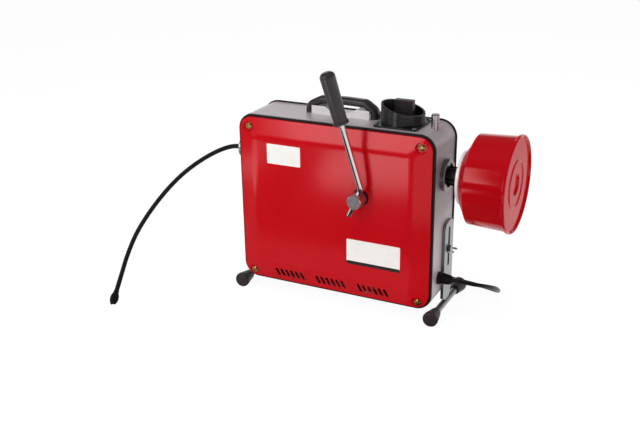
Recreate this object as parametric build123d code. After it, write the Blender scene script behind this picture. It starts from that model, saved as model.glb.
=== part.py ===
from build123d import *
import math
import os

# Drain cleaning machine: a sheet metal case on two clamp-on legs. A hollow spindle runs through
# it from a nose collar to a cable drum. Lengths are millimetres, +Z is up, +X points to the drum
# and the lever side of the case faces -Y. The case is centred on x = y = 0, the floor is z = 0.

# Case
BODY_W = 370.0
BODY_H = 313.0
BAND_D = 92.0
CORNER_R = 28.0
BAND_T = 2.5
GROUND = 23.5
LIP_W = 10.0
LIP_T = 2.0
GUSSET = 36.0

# Covers, gaskets and their screws
GASKET_T = 3.0
GASKET_SHOW = 4.5
GASKET_INSET = 0.5
REAR_LIP = 2.5
GASKET_W = 8.0
COVER_T = 1.5
FRONT_BULGE = 12.0
REAR_BULGE = 30.0
SLOPE_W = 32.0
COVER_RIM = 3.5
COVER_SOFT_R = 50.0
SCREW_SIDE = 23.0
SCREW_TOP = 21.0
SCREW_BOTTOM = 14.0
SCREW_HEAD_R = 6.4
SCREW_HEAD_H = 3.6
SCREW_R = 2.5
DIMPLE_R = 8.0
DIMPLE_MOUTH_R = 15.0
DIMPLE_FLOOR = 3.0

# Cooling slots in the front cover
VENT_GROUPS = 3
VENT_GROUP_STEP = 82.0
VENT_SLOTS = 6
VENT_STEP = 10.0
VENT_LONG = 17.0
VENT_WIDE = 5.2
VENT_LEAN = 22.0
VENT_RISE = 21.5
VENT_X = -3.0

# Spindle line
AXIS_DROP = 79.5
SPINDLE_R = 15.0
SPINDLE_BORE = 8.0
CABLE_R = 4.0
BEARING_R = 27.5
BEARING_W = 13.0
RUN_GAP = 0.05
SEAT_GAP = 0.05
BODY_GAP = 0.3

# Nose collar and rear collar
NOSE_OUT = 24.0
NOSE_R = 19.5
NOSE_NECK_R = 18.5
NOSE_BORE = 11.0
RING_R = 28.0
RING_OUT = 8.0
SOCKET_R = 20.0
HOUSING_R = 34.0
FLANGE_R = 40.0
FLANGE_T = 5.5
REAR_HOUSING = 43.0
NOSE_HOUSING = 24.0

# Bolt at the nose end
END_BOLT_R = 3.0
END_BOLT_HEAD_R = 5.5
END_BOLT_HEAD_H = 5.0
END_BOLT_Y = -14.0
END_BOLT_LEAN = 23.0

# Drum
DRUM_OUT = 35.5
DRUM_NECK_R = 48.0
DRUM_CONE_L = 18.5
DRUM_CONE_R = 76.0
DRUM_DEPTH = 83.5
DRUM_MOUTH_R = 79.0
DRUM_RIM_R = 82.0
DRUM_RIM_T = 5.0
DRUM_T = 1.2
LID_RING_R = 40.0
LID_DIMPLE_R = 17.0
HUB_R = 12.5
CLAWS = 3
CLAW_W = 11.0
CLAW_R = 15.5
CLAW_OUT = 22.0
CLAW_TURN = 65.0
DRUM_RING_R = 46.0
DRUM_RING_T = 4.0

# Lever
HUB_X = 57.0
HUB_DROP = 40.0
LEVER_HUB_R = 12.7
LEVER_HUB_FRONT = 89.0
LEVER_HUB_L = 25.0
SHAFT_R = 8.0
ROD_R = 5.0
ROD_Y = -80.0
ROD_LEAN = 23.5
ROD_TAIL = 30.0
ROD_KINK = 23.0
ROD_BEND_R = 14.0
ROD_SIDE = -46.0
ROD_OUT = -32.0
ROD_UP = 201.0
GRIP_R = 13.0
GRIP_L = 88.0
BUSH_R = 15.0
BUSH_T = 2.6
LEVER_SWING = 45.0
SHAFT_SEAT = 9.0

# Shift linkage: an eccentric on the lever shaft tilts a fork, which slides the cone sleeve
CRANK_E = 5.0
CRANK_PIN_R = 3.5
CRANK_DISC_R = 10.0
FORK_ARM = 28.0
FORK_T = 6.0
FORK_PIN_R = 5.0
FORK_R = 31.0
GROOVE_R = 22.5
GROOVE_W = 12.0
SLEEVE_FLANGE_R = 27.5
SLEEVE_L = 24.0
SKIRT_L = 40.0
SKIRT_R = 30.0
SKIRT_BORE = 23.0
CONE_SLOPE = 0.105
CAGE_R = 21.0
CAGE_SET = 18.0
CAGE_L = 32.0
CAGE_WALL = 6.0
JAW_L = 20.0
JAW_W = 10.0
JAW_OPEN = 1.25
BRACKET_T = 3.0
BRACKET_FRONT = -44.0
BRACKET_BACK = 25.0
BRACKET_HALF = 22.0

# Motor and belt
MOTOR_R = 46.0
MOTOR_L = 116.0
MOTOR_SET = 28.0
MOTOR_Y = 12.0
MOTOR_RISE = 64.0
MOTOR_SHAFT_R = 7.0
BELT_IN = 57.0
BELT_W = 10.0
BELT_T = 5.0
DRIVEN_R = 49.0
DRIVE_R = 16.0
PULLEY_LIP = 4.0
PULLEY_WALL = 3.0
MOTOR_BELL = 18.0
CRADLE_L = 60.0
CRADLE_D = 60.0
CRADLE_DROP = 22.0
CRADLE_T = 4.0
CAPACITOR_R = 19.0
CAPACITOR_L = 60.0
CAPACITOR_CAP = 4.0
CAPACITOR_TAB = 5.0
CAPACITOR_Y = 20.0
CAPACITOR_GAP = 4.0

# Reversing switch
SWITCH_IN = 77.5
SWITCH_PLATE = 78.0
SWITCH_PLATE_T = 3.0
GUARD_R = 37.0
GUARD_T = 3.5
GUARD_H = 27.7
GUARD_SLANT = 13.0
KNOB_R = 25.0
KNOB_L = 34.0
KNOB_T = 13.0
KNOB_SET = 6.0
KNOB_TOP = 40.0
KNOB_SHAFT_R = 5.0
SWITCH_SCREW_AT = 33.0
SWITCH_SCREW_R = 1.8
SWITCH_BLOCK_W = 44.0
SWITCH_BLOCK_H = 32.0
GUARD_FLOOR = 6.0
KNOB_DISC_T = 6.0
KNOB_SHAFT_L = 12.0

# Carry handle
HANDLE_GAP = 7.5
HANDLE_Y = 9.0
HANDLE_D = 19.0
HANDLE_L = 138.0
LUG_L = 14.0
HANDLE_BEND_R = 12.0
TRAY_D = 24.0
TRAY_T = 2.0
TRAY_END_H = 14.5
TRAY_MID_H = 6.4
TRAY_END_L = 26.0
TRAY_SLANT = 13.0
HANDLE_TOP = 33.0
HANDLE_BOLT_R = 3.0
HANDLE_BOLT_IN = 12.0

# Lock pin
PIN_IN = 20.5
PIN_Y = 0.0
PIN_R = 7.0
PIN_TOP = 22.5
PIN_GROOVES = (7.5, 13.5)
PIN_GROOVE_W = 1.4
PIN_GROOVE_D = 0.8
PIN_SHANK = 12.0
STEM_R = 4.0
PIN_PRESS = 6.0
SPRING_WIRE = 1.4
SPRING_R = 6.2
SPRING_TURNS = 6

# Legs
LEG_Y = 19.0
LEG_W = 42.0
LEG_T = 5.0
LEG_TOP = 169.0
LEG_TOP_R = 14.0
LEG_TUBE_R = 6.0
FOOT_R = 13.5
FOOT_NECK_R = 9.0
FOOT_L = 32.0
FOOT_SPAN = 163.0
LEG_SLOT_LOW = 84.0
LEG_SLOT_HIGH = 158.0
LEG_BOLT_Z = 116.5
LEG_BOLT_R = 4.0
LEG_SLOT_GAP = 0.5
LEG_CUT_W = 13.0
LEG_CUT_H = 26.0
LEG_HEX_R = 6.5
LEG_HEAD_H = 3.2
LEG_WASHER_R = 8.0
LEG_WASHER_T = 1.2
LEG_NUT_R = 7.5
LEG_NUT_H = 6.5
LEG_BOLT_TAIL = 10.0

# Mains lead
GLAND_Y = -14.5
GLAND_Z = 73.0
GLAND_NUT_R = 11.5
GLAND_NUT_L = 10.0
GLAND_BODY_R = 8.5
GLAND_L = 27.0
CORD_D = 7.0
COIL_X = 0.0
COIL_Y = 185.0
COIL_MID_R = 38.5
COIL_PITCH = 7.8
COIL_LAYERS = 4
COIL_TURNS = 2.0
TIE_T = 1.5
TIE_W = 9.0
PLUG_R = 17.0
PLUG_L = 42.0

# Free end of the drain cable
AUGER_R = 8.0
AUGER_L = 23.0
AUGER_WIRE = 2.0
AUGER_TURNS = 8
AUGER_SOCKET = 4.0
AUGER_TAPER = 3.0

# Values that follow from the sizes above
TRAY_L = HANDLE_L - 2 * LUG_L
MID_Z = GROUND + BODY_H / 2
TOP_Z = GROUND + BODY_H
AXIS_Z = TOP_Z - AXIS_DROP
HUB_Z = AXIS_Z - HUB_DROP
END_X = BODY_W / 2
INNER_X = END_X - BAND_T
NOSE_REACH = END_X + NOSE_OUT
RING_REACH = END_X + RING_OUT
CLAW_REACH = END_X + CLAW_OUT
DRUM_BACK = END_X + DRUM_OUT
DRUM_CONE_X = DRUM_BACK + DRUM_CONE_L
DRUM_MOUTH_X = DRUM_BACK + DRUM_DEPTH
PIN_X = END_X - PIN_IN
SOCKET_X0 = PIN_X - 12.0
SOCKET_X1 = RING_REACH - 3.0
CAGE_X0 = HUB_X + CAGE_SET
CAGE_X1 = CAGE_X0 + CAGE_L
JAW_X0 = CAGE_X0 + CAGE_WALL
BELT_X = -END_X + BELT_IN
MOTOR_X0 = BELT_X + MOTOR_SET
MOTOR_X1 = MOTOR_X0 + MOTOR_L
MOTOR_X = MOTOR_X0 + MOTOR_L / 2
SWITCH_X = END_X - SWITCH_IN
HANDLE_X = SWITCH_X - SWITCH_PLATE / 2 - HANDLE_GAP - HANDLE_L / 2
INNER_CABLE_END = -NOSE_REACH + 6.0
FLOOR_IN = GROUND + BAND_T
CEILING = TOP_Z - BAND_T
SEAT_Y = BAND_D / 2 + GASKET_T
FRONT_Y = SEAT_Y + FRONT_BULGE
SCREW_X = END_X - SCREW_SIDE
SCREW_ZS = (GROUND + SCREW_BOTTOM, TOP_Z - SCREW_TOP)
MOTOR_Z = GROUND + MOTOR_RISE
FORK_TILT = math.degrees(math.asin(CRANK_E * math.sin(math.radians(LEVER_SWING / 2)) / FORK_ARM))
FORK_REACH = HUB_DROP + CRANK_E + FORK_ARM
FORK_PIN_Z = HUB_Z - CRANK_E - FORK_ARM
GROOVE_X = HUB_X - FORK_REACH * math.sin(math.radians(FORK_TILT))
SLEEVE_TRAVEL = 2 * FORK_REACH * math.sin(math.radians(FORK_TILT))
HUB_BACK = LEVER_HUB_FRONT - LEVER_HUB_L
LEAN = math.radians(ROD_LEAN)
ROD_END = (HUB_X - ROD_TAIL * math.sin(LEAN), ROD_Y, HUB_Z - ROD_TAIL * math.cos(LEAN))
ROD_BEND = (HUB_X + ROD_KINK * math.sin(LEAN), ROD_Y, HUB_Z + ROD_KINK * math.cos(LEAN))
GRIP_TOP = (ROD_BEND[0] + ROD_SIDE, ROD_BEND[1] + ROD_OUT, ROD_BEND[2] + ROD_UP)
PIN_SHOULDER = CEILING - PIN_SHANK
SPRING_SEAT = AXIS_Z + HOUSING_R
FOOT_Z = FOOT_R
LEG_X0 = END_X + BODY_GAP
LEG_X = LEG_X0 + LEG_T / 2
SPINDLE_LINE = Plane((0, 0, AXIS_Z), x_dir=(1, 0, 0), z_dir=(0, -1, 0))
MOTOR_LINE = Plane((0, MOTOR_Y, MOTOR_Z), x_dir=(1, 0, 0), z_dir=(0, -1, 0))
LEVER_LINE = Plane((HUB_X, 0, HUB_Z), x_dir=(0, -1, 0), z_dir=(1, 0, 0))

nodes = {}
cords = {}


def turned(plane, points):
    # Solid of revolution: points are (along, radius) on the plane's own x axis
    outline = make_face(Polyline(*points, close=True))
    return revolve(plane * outline, Axis(plane.origin, plane.x_dir))


def rod_x(x0, x1, r, y, z):
    return Pos((x0 + x1) / 2, y, z) * Rot(0, 90, 0) * Cylinder(r, x1 - x0)


def rod_y(y0, y1, r, x, z):
    return Pos(x, (y0 + y1) / 2, z) * Rot(90, 0, 0) * Cylinder(r, y1 - y0)


def rod_z(z0, z1, r, x, y):
    return Pos(x, y, (z0 + z1) / 2) * Cylinder(r, z1 - z0)


def block(x0, x1, y0, y1, z0, z1):
    return Pos((x0 + x1) / 2, (y0 + y1) / 2, (z0 + z1) / 2) * Box(x1 - x0, y1 - y0, z1 - z0)


def slab(inset, y0, y1):
    # Rounded rectangle of the case outline, drawn in by inset, from y0 to y1
    plane = Plane((0, y1, MID_Z), x_dir=(1, 0, 0), z_dir=(0, -1, 0))
    outline = RectangleRounded(BODY_W - 2 * inset, BODY_H - 2 * inset, max(CORNER_R - inset, 4.0))
    return extrude(plane * outline, y1 - y0)


def biarc(p0, t0, p1, t1):
    # Two arcs from p0 to p1 that meet the unit directions t0 and t1
    v = p1 - p0
    t = t0 + t1
    a = 2 * (t0.dot(t1) - 1)
    b = -2 * v.dot(t)
    c = v.dot(v)
    if abs(a) < 1e-9:
        d = -c / b
    else:
        d = (-b - math.sqrt(b * b - 4 * a * c)) / (2 * a)
    q0 = p0 + t0 * d
    q1 = p1 - t1 * d
    joint = (q0 + q1) * 0.5
    heading = (q1 - q0).normalized()
    return [Edge.make_tangent_arc(p0, t0, joint), Edge.make_tangent_arc(joint, heading, p1)]


def wound_path(at, turns, step):
    # Biarcs through the points of at(angle), step is a part of a turn
    count = round(turns / step)
    edges = []
    for i in range(count):
        a0 = 2 * math.pi * step * i
        a1 = 2 * math.pi * step * (i + 1)
        h = 1e-5
        t0 = (at(a0 + h) - at(a0 - h)).normalized()
        t1 = (at(a1 + h) - at(a1 - h)).normalized()
        edges += biarc(at(a0), t0, at(a1), t1)
    return edges


def least_gap(at, turns, wire):
    # Least distance between stretches half a turn or more apart, less the wire
    per_turn = 48
    pts = [at(2 * math.pi * i / per_turn) for i in range(round(turns * per_turn) + 1)]
    best = 1e9
    for i in range(len(pts)):
        for j in range(i + per_turn // 2, len(pts)):
            best = min(best, (pts[i] - pts[j]).length)
    return best - wire


def swept(edges, radius):
    wire = Wire(edges)
    start = wire.position_at(0)
    heading = wire.tangent_at(0)
    return sweep(Plane(start, z_dir=heading) * Circle(radius), path=wire)


def cord_tube(name, points, radius):
    # Straight runs joined by the largest tangent arcs that their runs allow
    radii = []
    for a, b, c in zip(points, points[1:], points[2:]):
        u = Vector(*b) - Vector(*a)
        v = Vector(*c) - Vector(*b)
        turn = math.radians(u.get_angle(v))
        radii.append(0.45 * min(u.length, v.length) / math.tan(turn / 2))
    path = FilletPolyline(*points, radius=radii)
    tube = swept(path.edges(), radius)
    section = math.pi * radius ** 2
    length = sum(e.length for e in path.edges())
    print(name, "radii", [round(r, 1) for r in radii], "length", round(length, 1),
          "volume share", round(tube.volume / (section * length), 4))
    cords[name] = length
    return tube


# Sheet metal band with inward lips, corner gussets and the holes for what passes through it
def make_band():
    half = BAND_D / 2
    band = slab(0, -half, half) - slab(BAND_T, -half + LIP_T, half - LIP_T) - slab(LIP_W, -half, half)
    for side in (-1, 1):
        y0 = side * (half - LIP_T / 2)
        for sx in (-1, 1):
            for z in (GROUND, TOP_Z):
                plate = Pos(sx * END_X, y0, z) * Box(2 * GUSSET, LIP_T, 2 * GUSSET)
                band += plate & slab(0, -half, half)
            for z in SCREW_ZS:
                band -= rod_y(y0 - LIP_T, y0 + LIP_T, SCREW_R + SEAT_GAP, sx * SCREW_X, z)
    band -= rod_x(-END_X - 1, -INNER_X + 1, NOSE_NECK_R + SEAT_GAP, 0, AXIS_Z)
    band -= rod_x(INNER_X - 1, END_X + 1, RING_R + SEAT_GAP, 0, AXIS_Z)
    band -= rod_x(INNER_X - 1, END_X + 1, GLAND_BODY_R + SEAT_GAP, GLAND_Y, GLAND_Z)
    for sx in (-1, 1):
        x = sx * END_X
        band -= rod_x(x - BAND_T * 2, x + BAND_T * 2, LEG_BOLT_R + SEAT_GAP, LEG_Y, LEG_BOLT_Z)
    band -= rod_z(CEILING - PIN_SHANK, TOP_Z + 1, PIN_R + RUN_GAP, PIN_X, PIN_Y)
    band -= rod_z(CEILING - 1, TOP_Z + 1, KNOB_SHAFT_R + 1.0, SWITCH_X, 0)
    for x in lug_bolt_places() + tray_bolt_places():
        band -= rod_z(CEILING - 1, TOP_Z + 1, HANDLE_BOLT_R + SEAT_GAP, x, HANDLE_Y)
    band -= extrude(end_bolt_plane() * Circle(END_BOLT_R + SEAT_GAP), BAND_T * 2, both=True)
    return band


# Bolt on the rounded corner at the top of the nose end
def end_bolt_plane():
    lean = math.radians(END_BOLT_LEAN)
    out = Vector(-math.cos(lean), 0, math.sin(lean))
    corner = Vector(-END_X + CORNER_R, END_BOLT_Y, TOP_Z - CORNER_R)
    return Plane(corner + out * CORNER_R, x_dir=(0, 1, 0), z_dir=out)


def make_end_bolt():
    plane = end_bolt_plane()
    head = extrude(plane * RegularPolygon(END_BOLT_HEAD_R, 6), END_BOLT_HEAD_H)
    return head + extrude(plane * Circle(END_BOLT_R), -BAND_T - 6.0)


# Pressed cover: a short upright rim, four shallow slopes that meet in soft creases, a flat
# panel, and a cone-shaped dimple round each corner screw
def cover_form(inset, rise, soft_r):
    base = Plane((0, -SEAT_Y, MID_Z), x_dir=(1, 0, 0), z_dir=(0, -1, 0))
    outline = RectangleRounded(BODY_W - 2 * inset, BODY_H - 2 * inset, CORNER_R - inset)
    form = extrude(base * outline, rise)
    slope = math.degrees(math.atan2(rise - COVER_RIM, SLOPE_W))
    for turn in range(4):
        reach = (BODY_W if turn % 2 == 0 else BODY_H) / 2 - inset
        cutter = Box(2 * BODY_W, BODY_W, 2 * BODY_W, align=(Align.MAX, Align.MAX, Align.CENTER))
        wedge = Pos(reach, -SEAT_Y - COVER_RIM, 0) * Rot(0, 0, slope) * Pos(BODY_W, 0, 0) * cutter
        form -= Pos(0, 0, MID_Z) * Rot(0, -90 * turn, 0) * wedge
    panel = form.faces().sort_by(Axis.Y)[0]
    creases = [e for e in form.edges() if e.geom_type == GeomType.LINE and is_crease(e)]
    return fillet(list(panel.edges()) + creases, soft_r)


def is_crease(edge):
    run = edge.tangent_at(0)
    return abs(run.X) > 0.1 and abs(run.Y) > 0.02 and abs(run.Z) > 0.1


def dimples(floor, grow, rise):
    reach = rise + 2.0
    plane = Plane((0, 0, 0), x_dir=(1, 0, 0), z_dir=(0, -1, 0))
    spread = (DIMPLE_MOUTH_R - DIMPLE_R) * reach / FRONT_BULGE
    foot = (Align.CENTER, Align.CENTER, Align.MIN)
    cone = Cone(DIMPLE_R + grow, DIMPLE_R + grow + spread, reach, align=foot)
    cuts = []
    for sx in (-1, 1):
        for z in SCREW_ZS:
            cuts.append(Pos(sx * SCREW_X, -SEAT_Y - floor, z) * plane.location * cone)
    return cuts


def make_cover(rise):
    shell = cover_form(GASKET_SHOW, rise, COVER_SOFT_R)
    hollow = cover_form(GASKET_SHOW + COVER_T, rise - COVER_T, COVER_SOFT_R - COVER_T)
    for cut in dimples(DIMPLE_FLOOR, 0, rise):
        shell -= cut
    for cut in dimples(DIMPLE_FLOOR - COVER_T, COVER_T, rise):
        hollow -= cut
    shell -= hollow
    for sx in (-1, 1):
        for z in SCREW_ZS:
            shell -= rod_y(-SEAT_Y - DIMPLE_FLOOR - 1, -SEAT_Y, SCREW_R + SEAT_GAP, sx * SCREW_X, z)
    return shell


def make_front_cover():
    cover = make_cover(FRONT_BULGE)
    cover -= rod_y(-FRONT_Y - 1, -SEAT_Y, BUSH_R - 4.0 + SEAT_GAP, HUB_X, HUB_Z)
    plane = Plane((0, -FRONT_Y - 1, GROUND + VENT_RISE), x_dir=(1, 0, 0), z_dir=(0, -1, 0))
    slot = extrude(plane * (Rot(0, 0, 90 + VENT_LEAN) * SlotOverall(VENT_LONG, VENT_WIDE)), -FRONT_BULGE)
    slots = []
    for g in range(VENT_GROUPS):
        centre = VENT_X + (g - (VENT_GROUPS - 1) / 2) * VENT_GROUP_STEP
        for s in range(VENT_SLOTS):
            slots.append(Pos(centre + (s - (VENT_SLOTS - 1) / 2) * VENT_STEP, 0, 0) * slot)
    return cover - slots


def make_gasket(side):
    # The rear gasket has a lip that stands out past the band
    outer = GASKET_INSET if side < 0 else -REAR_LIP
    y0, y1 = sorted((side * BAND_D / 2, side * SEAT_Y))
    return slab(outer, y0, y1) - slab(GASKET_W, y0, y1)


# Cross-head screws that hold both covers, each with its own shank
def make_cover_screws():
    head = turned(Plane((0, 0, 0), x_dir=(0, -1, 0), z_dir=(1, 0, 0)), [
        (0, 0), (0, SCREW_HEAD_R), (SCREW_HEAD_H * 0.45, SCREW_HEAD_R * 0.92),
        (SCREW_HEAD_H * 0.85, SCREW_HEAD_R * 0.6), (SCREW_HEAD_H, 0)])
    for turn in (0, 90):
        head -= Pos(0, -SCREW_HEAD_H, 0) * Rot(0, 45 + turn, 0) * Box(1.5, 3.2, SCREW_HEAD_R)
    shank = rod_y(0, GASKET_T + DIMPLE_FLOOR + LIP_T + 2.0, SCREW_R, 0, 0)
    screw = Pos(0, -SEAT_Y - DIMPLE_FLOOR, 0) * (head + shank)
    screws = []
    for sx in (-1, 1):
        for z in SCREW_ZS:
            front = Pos(sx * SCREW_X, 0, z) * screw
            screws += [front, mirror(front, Plane.XZ)]
    return Compound(children=screws)


# Nose collar: outside barrel, flange against the inner wall, and the front bearing's seat
def make_nose_collar():
    seat = -INNER_X + FLANGE_T + NOSE_HOUSING
    return turned(SPINDLE_LINE, [
        (-NOSE_REACH, NOSE_BORE), (-NOSE_REACH, NOSE_R - 2.0), (-NOSE_REACH + 2.0, NOSE_R),
        (-END_X, NOSE_R), (-END_X, NOSE_NECK_R), (-INNER_X, NOSE_NECK_R), (-INNER_X, FLANGE_R),
        (-INNER_X + FLANGE_T, FLANGE_R), (-INNER_X + FLANGE_T, HOUSING_R), (seat, HOUSING_R),
        (seat, BEARING_R),
        (seat - BEARING_W - 3.0, BEARING_R), (seat - BEARING_W - 3.0, SPINDLE_R + 3.0),
        (-NOSE_REACH + 12.0, SPINDLE_R + 1.5), (-NOSE_REACH + 12.0, NOSE_BORE)])


# Rear collar: outside ring, flange, and a long housing that also guides the lock pin
def make_rear_collar():
    inner = INNER_X - FLANGE_T - REAR_HOUSING
    collar = turned(SPINDLE_LINE, [
        (RING_REACH, SOCKET_R + 0.5), (RING_REACH, RING_R - 1.5), (RING_REACH - 1.5, RING_R),
        (INNER_X, RING_R), (INNER_X, FLANGE_R), (INNER_X - FLANGE_T, FLANGE_R),
        (INNER_X - FLANGE_T, HOUSING_R), (inner, HOUSING_R), (inner, BEARING_R),
        (inner + BEARING_W + 3.0, BEARING_R), (inner + BEARING_W + 3.0, SOCKET_R + 0.5)])
    return collar - rod_z(AXIS_Z, AXIS_Z + FLANGE_R, STEM_R + RUN_GAP, PIN_X, PIN_Y)


def make_bearing(x0):
    r0 = SPINDLE_R + RUN_GAP
    r1 = BEARING_R - SEAT_GAP
    race = 4.0
    return turned(SPINDLE_LINE, [
        (x0, r0), (x0, r0 + race), (x0 + 1.2, r0 + race), (x0 + 1.2, r1 - race), (x0, r1 - race),
        (x0, r1), (x0 + BEARING_W, r1), (x0 + BEARING_W, r0)])


# Hollow spindle with the jaw cage in its middle and the claw socket at its rear
def make_spindle():
    spindle = turned(SPINDLE_LINE, [
        (-NOSE_REACH + 14.0, SPINDLE_BORE), (-NOSE_REACH + 14.0, SPINDLE_R), (CAGE_X0, SPINDLE_R),
        (CAGE_X0, CAGE_R), (CAGE_X1, CAGE_R), (CAGE_X1, SPINDLE_R), (SOCKET_X0, SPINDLE_R),
        (SOCKET_X0, SOCKET_R), (SOCKET_X1, SOCKET_R), (SOCKET_X1, HUB_R + SEAT_GAP),
        (SOCKET_X0 + 22.0, HUB_R + SEAT_GAP), (SOCKET_X0 + 22.0, SPINDLE_BORE)])
    for j in range(3):
        slot = block(JAW_X0, JAW_X0 + JAW_L, -JAW_W / 2, JAW_W / 2, 0, CAGE_R + 5)
        spindle -= Pos(0, 0, AXIS_Z) * Rot(120 * j, 0, 0) * slot
    for k in range(CLAWS):
        half = CLAW_W / 2 + 0.2
        slot = block(SOCKET_X1 - 8.0, SOCKET_X1 + 1, -half, half, HUB_R - 2, SOCKET_R + 2)
        spindle -= Pos(0, 0, AXIS_Z) * Rot(CLAW_TURN + 360 / CLAWS * k, 0, 0) * slot
    for k in range(4):
        hole = rod_z(SOCKET_R - PIN_PRESS - 1.0, SOCKET_R + 2, STEM_R + 0.2, PIN_X, 0)
        spindle -= Pos(0, 0, AXIS_Z) * Rot(90 * k, 0, 0) * hole
    return spindle


# Jaws slide in the cage's slots and close on the cable under the sleeve's cone
def jaw_outer(x):
    return SKIRT_BORE + (x - CAGE_X0) * CONE_SLOPE - BODY_GAP


def make_jaw(index):
    x0 = JAW_X0 + 0.1
    x1 = JAW_X0 + JAW_L - 0.1
    plane = Plane((0, 0, 0), x_dir=(1, 0, 0), z_dir=(0, -1, 0))
    low = CABLE_R + JAW_OPEN
    high = [(x1, jaw_outer(x1) - 0.6), (x0, jaw_outer(x0) - 0.6)]
    outline = make_face(Polyline((x0, low), (x1, low), *high, close=True))
    jaw = extrude(plane * outline, JAW_W / 2 - 0.1, both=True)
    jaw -= rod_x(x0 - 1, x1 + 1, CABLE_R + 0.05, 0, JAW_OPEN + 0.6)
    return Pos(0, 0, AXIS_Z) * Rot(120 * index, 0, 0) * jaw


# Cone sleeve: a grooved collar for the fork and a skirt whose cone presses the jaws in
def make_sleeve():
    x0 = GROOVE_X - SLEEVE_L / 2
    x1 = GROOVE_X + SLEEVE_L / 2
    skirt0 = x1 - 4.0
    skirt1 = skirt0 + SKIRT_L
    bore0 = SKIRT_BORE + (x1 - CAGE_X0) * CONE_SLOPE
    bore1 = SKIRT_BORE + (skirt1 - CAGE_X0) * CONE_SLOPE
    return turned(SPINDLE_LINE, [
        (x0, SPINDLE_R + RUN_GAP), (x0, SLEEVE_FLANGE_R), (GROOVE_X - GROOVE_W / 2, SLEEVE_FLANGE_R),
        (GROOVE_X - GROOVE_W / 2, GROOVE_R), (GROOVE_X + GROOVE_W / 2, GROOVE_R),
        (GROOVE_X + GROOVE_W / 2, SLEEVE_FLANGE_R), (skirt0, SLEEVE_FLANGE_R), (skirt0 + 4.0, SKIRT_R),
        (skirt1, SKIRT_R), (skirt1, bore1), (x1, bore0), (x1, SPINDLE_R + RUN_GAP)])


# Shift fork, drawn upright and then tilted about its pin to the rest position
def make_fork():
    top = AXIS_Z + 6.0
    ring = rod_x(HUB_X - FORK_T / 2, HUB_X + FORK_T / 2, FORK_R, 0, AXIS_Z)
    ring -= rod_x(HUB_X - FORK_T, HUB_X + FORK_T, GROOVE_R + 0.6, 0, AXIS_Z)
    ring -= block(HUB_X - FORK_T, HUB_X + FORK_T, -GROOVE_R - 0.6, GROOVE_R + 0.6, AXIS_Z, AXIS_Z + FORK_R)
    ring -= block(HUB_X - FORK_T, HUB_X + FORK_T, -FORK_R - 1, FORK_R + 1, top, AXIS_Z + FORK_R + 1)
    stem = block(HUB_X - 9.0, HUB_X + 9.0, -8.0, 8.0, FORK_PIN_Z, HUB_Z + 6.0)
    stem += block(HUB_X - FORK_T / 2, HUB_X + FORK_T / 2, -8.0, 8.0, HUB_Z, AXIS_Z - FORK_R + 4.0)
    stem += rod_y(-8.0, 8.0, 9.0, HUB_X, FORK_PIN_Z)
    crank_low = HUB_Z - CRANK_E
    slot = CRANK_PIN_R + 0.4
    stem -= block(HUB_X - slot, HUB_X + slot, -9.0, 9.0, crank_low - 5.5, crank_low + 6.5)
    stem -= rod_y(-9.0, 9.0, FORK_PIN_R + RUN_GAP, HUB_X, FORK_PIN_Z)
    fork = ring + stem
    about = Axis((HUB_X, 0, FORK_PIN_Z), (0, 1, 0))
    return fork.rotate(about, -FORK_TILT)


# Bracket on the case floor that carries the lever shaft and the fork's pin
def make_lever_bracket():
    x0 = HUB_X - BRACKET_HALF
    x1 = HUB_X + BRACKET_HALF
    bracket = block(x0, x1, BRACKET_FRONT, BRACKET_FRONT + BRACKET_T, FLOOR_IN, HUB_Z + 16.0)
    bracket += block(x0, x1, BRACKET_FRONT, BRACKET_BACK, FLOOR_IN, FLOOR_IN + BRACKET_T)
    bracket += block(x0, x1, BRACKET_BACK - BRACKET_T, BRACKET_BACK, FLOOR_IN, FORK_PIN_Z + 14.0)
    bracket -= rod_y(BRACKET_FRONT - 1, BRACKET_FRONT + BRACKET_T + 1, SHAFT_R + RUN_GAP, HUB_X, HUB_Z)
    return bracket - rod_y(BRACKET_FRONT - 1, BRACKET_BACK + 1, FORK_PIN_R + SEAT_GAP, HUB_X, FORK_PIN_Z)


def make_fork_pin():
    return rod_y(BRACKET_FRONT - 2.5, BRACKET_BACK + 2.5, FORK_PIN_R, HUB_X, FORK_PIN_Z)


# Lever: bush in the cover, shaft with its eccentric, hub, bent rod and moulded grip
def make_lever_bush():
    return turned(LEVER_LINE, [
        (FRONT_Y - 7.0, SHAFT_R + RUN_GAP), (FRONT_Y - 7.0, BUSH_R - 4.0), (FRONT_Y, BUSH_R - 4.0),
        (FRONT_Y, BUSH_R), (FRONT_Y + BUSH_T, BUSH_R - 0.8), (FRONT_Y + BUSH_T, SHAFT_R + RUN_GAP)])


def make_lever_shaft():
    shaft = rod_y(-HUB_BACK - SHAFT_SEAT, -14.0, SHAFT_R, HUB_X, HUB_Z)
    shaft += rod_y(-14.0, -10.0, CRANK_DISC_R, HUB_X, HUB_Z)
    swing = math.radians(LEVER_SWING / 2)
    pin_x = HUB_X - CRANK_E * math.sin(swing)
    pin_z = HUB_Z - CRANK_E * math.cos(swing)
    return shaft + rod_y(-10.0, 9.0, CRANK_PIN_R, pin_x, pin_z)


def make_lever_hub():
    hub = turned(LEVER_LINE, [
        (HUB_BACK, 0), (HUB_BACK, LEVER_HUB_R), (LEVER_HUB_FRONT - 1.0, LEVER_HUB_R),
        (LEVER_HUB_FRONT, LEVER_HUB_R - 1.0), (LEVER_HUB_FRONT, 0)])
    hub -= rod_y(-HUB_BACK - SHAFT_SEAT - SEAT_GAP, -HUB_BACK + 1, SHAFT_R + SEAT_GAP, HUB_X, HUB_Z)
    across = Plane((HUB_X, ROD_Y, HUB_Z), z_dir=(math.sin(LEAN), 0, math.cos(LEAN)))
    return hub - across.location * Cylinder(ROD_R + SEAT_GAP, 60.0)


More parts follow.
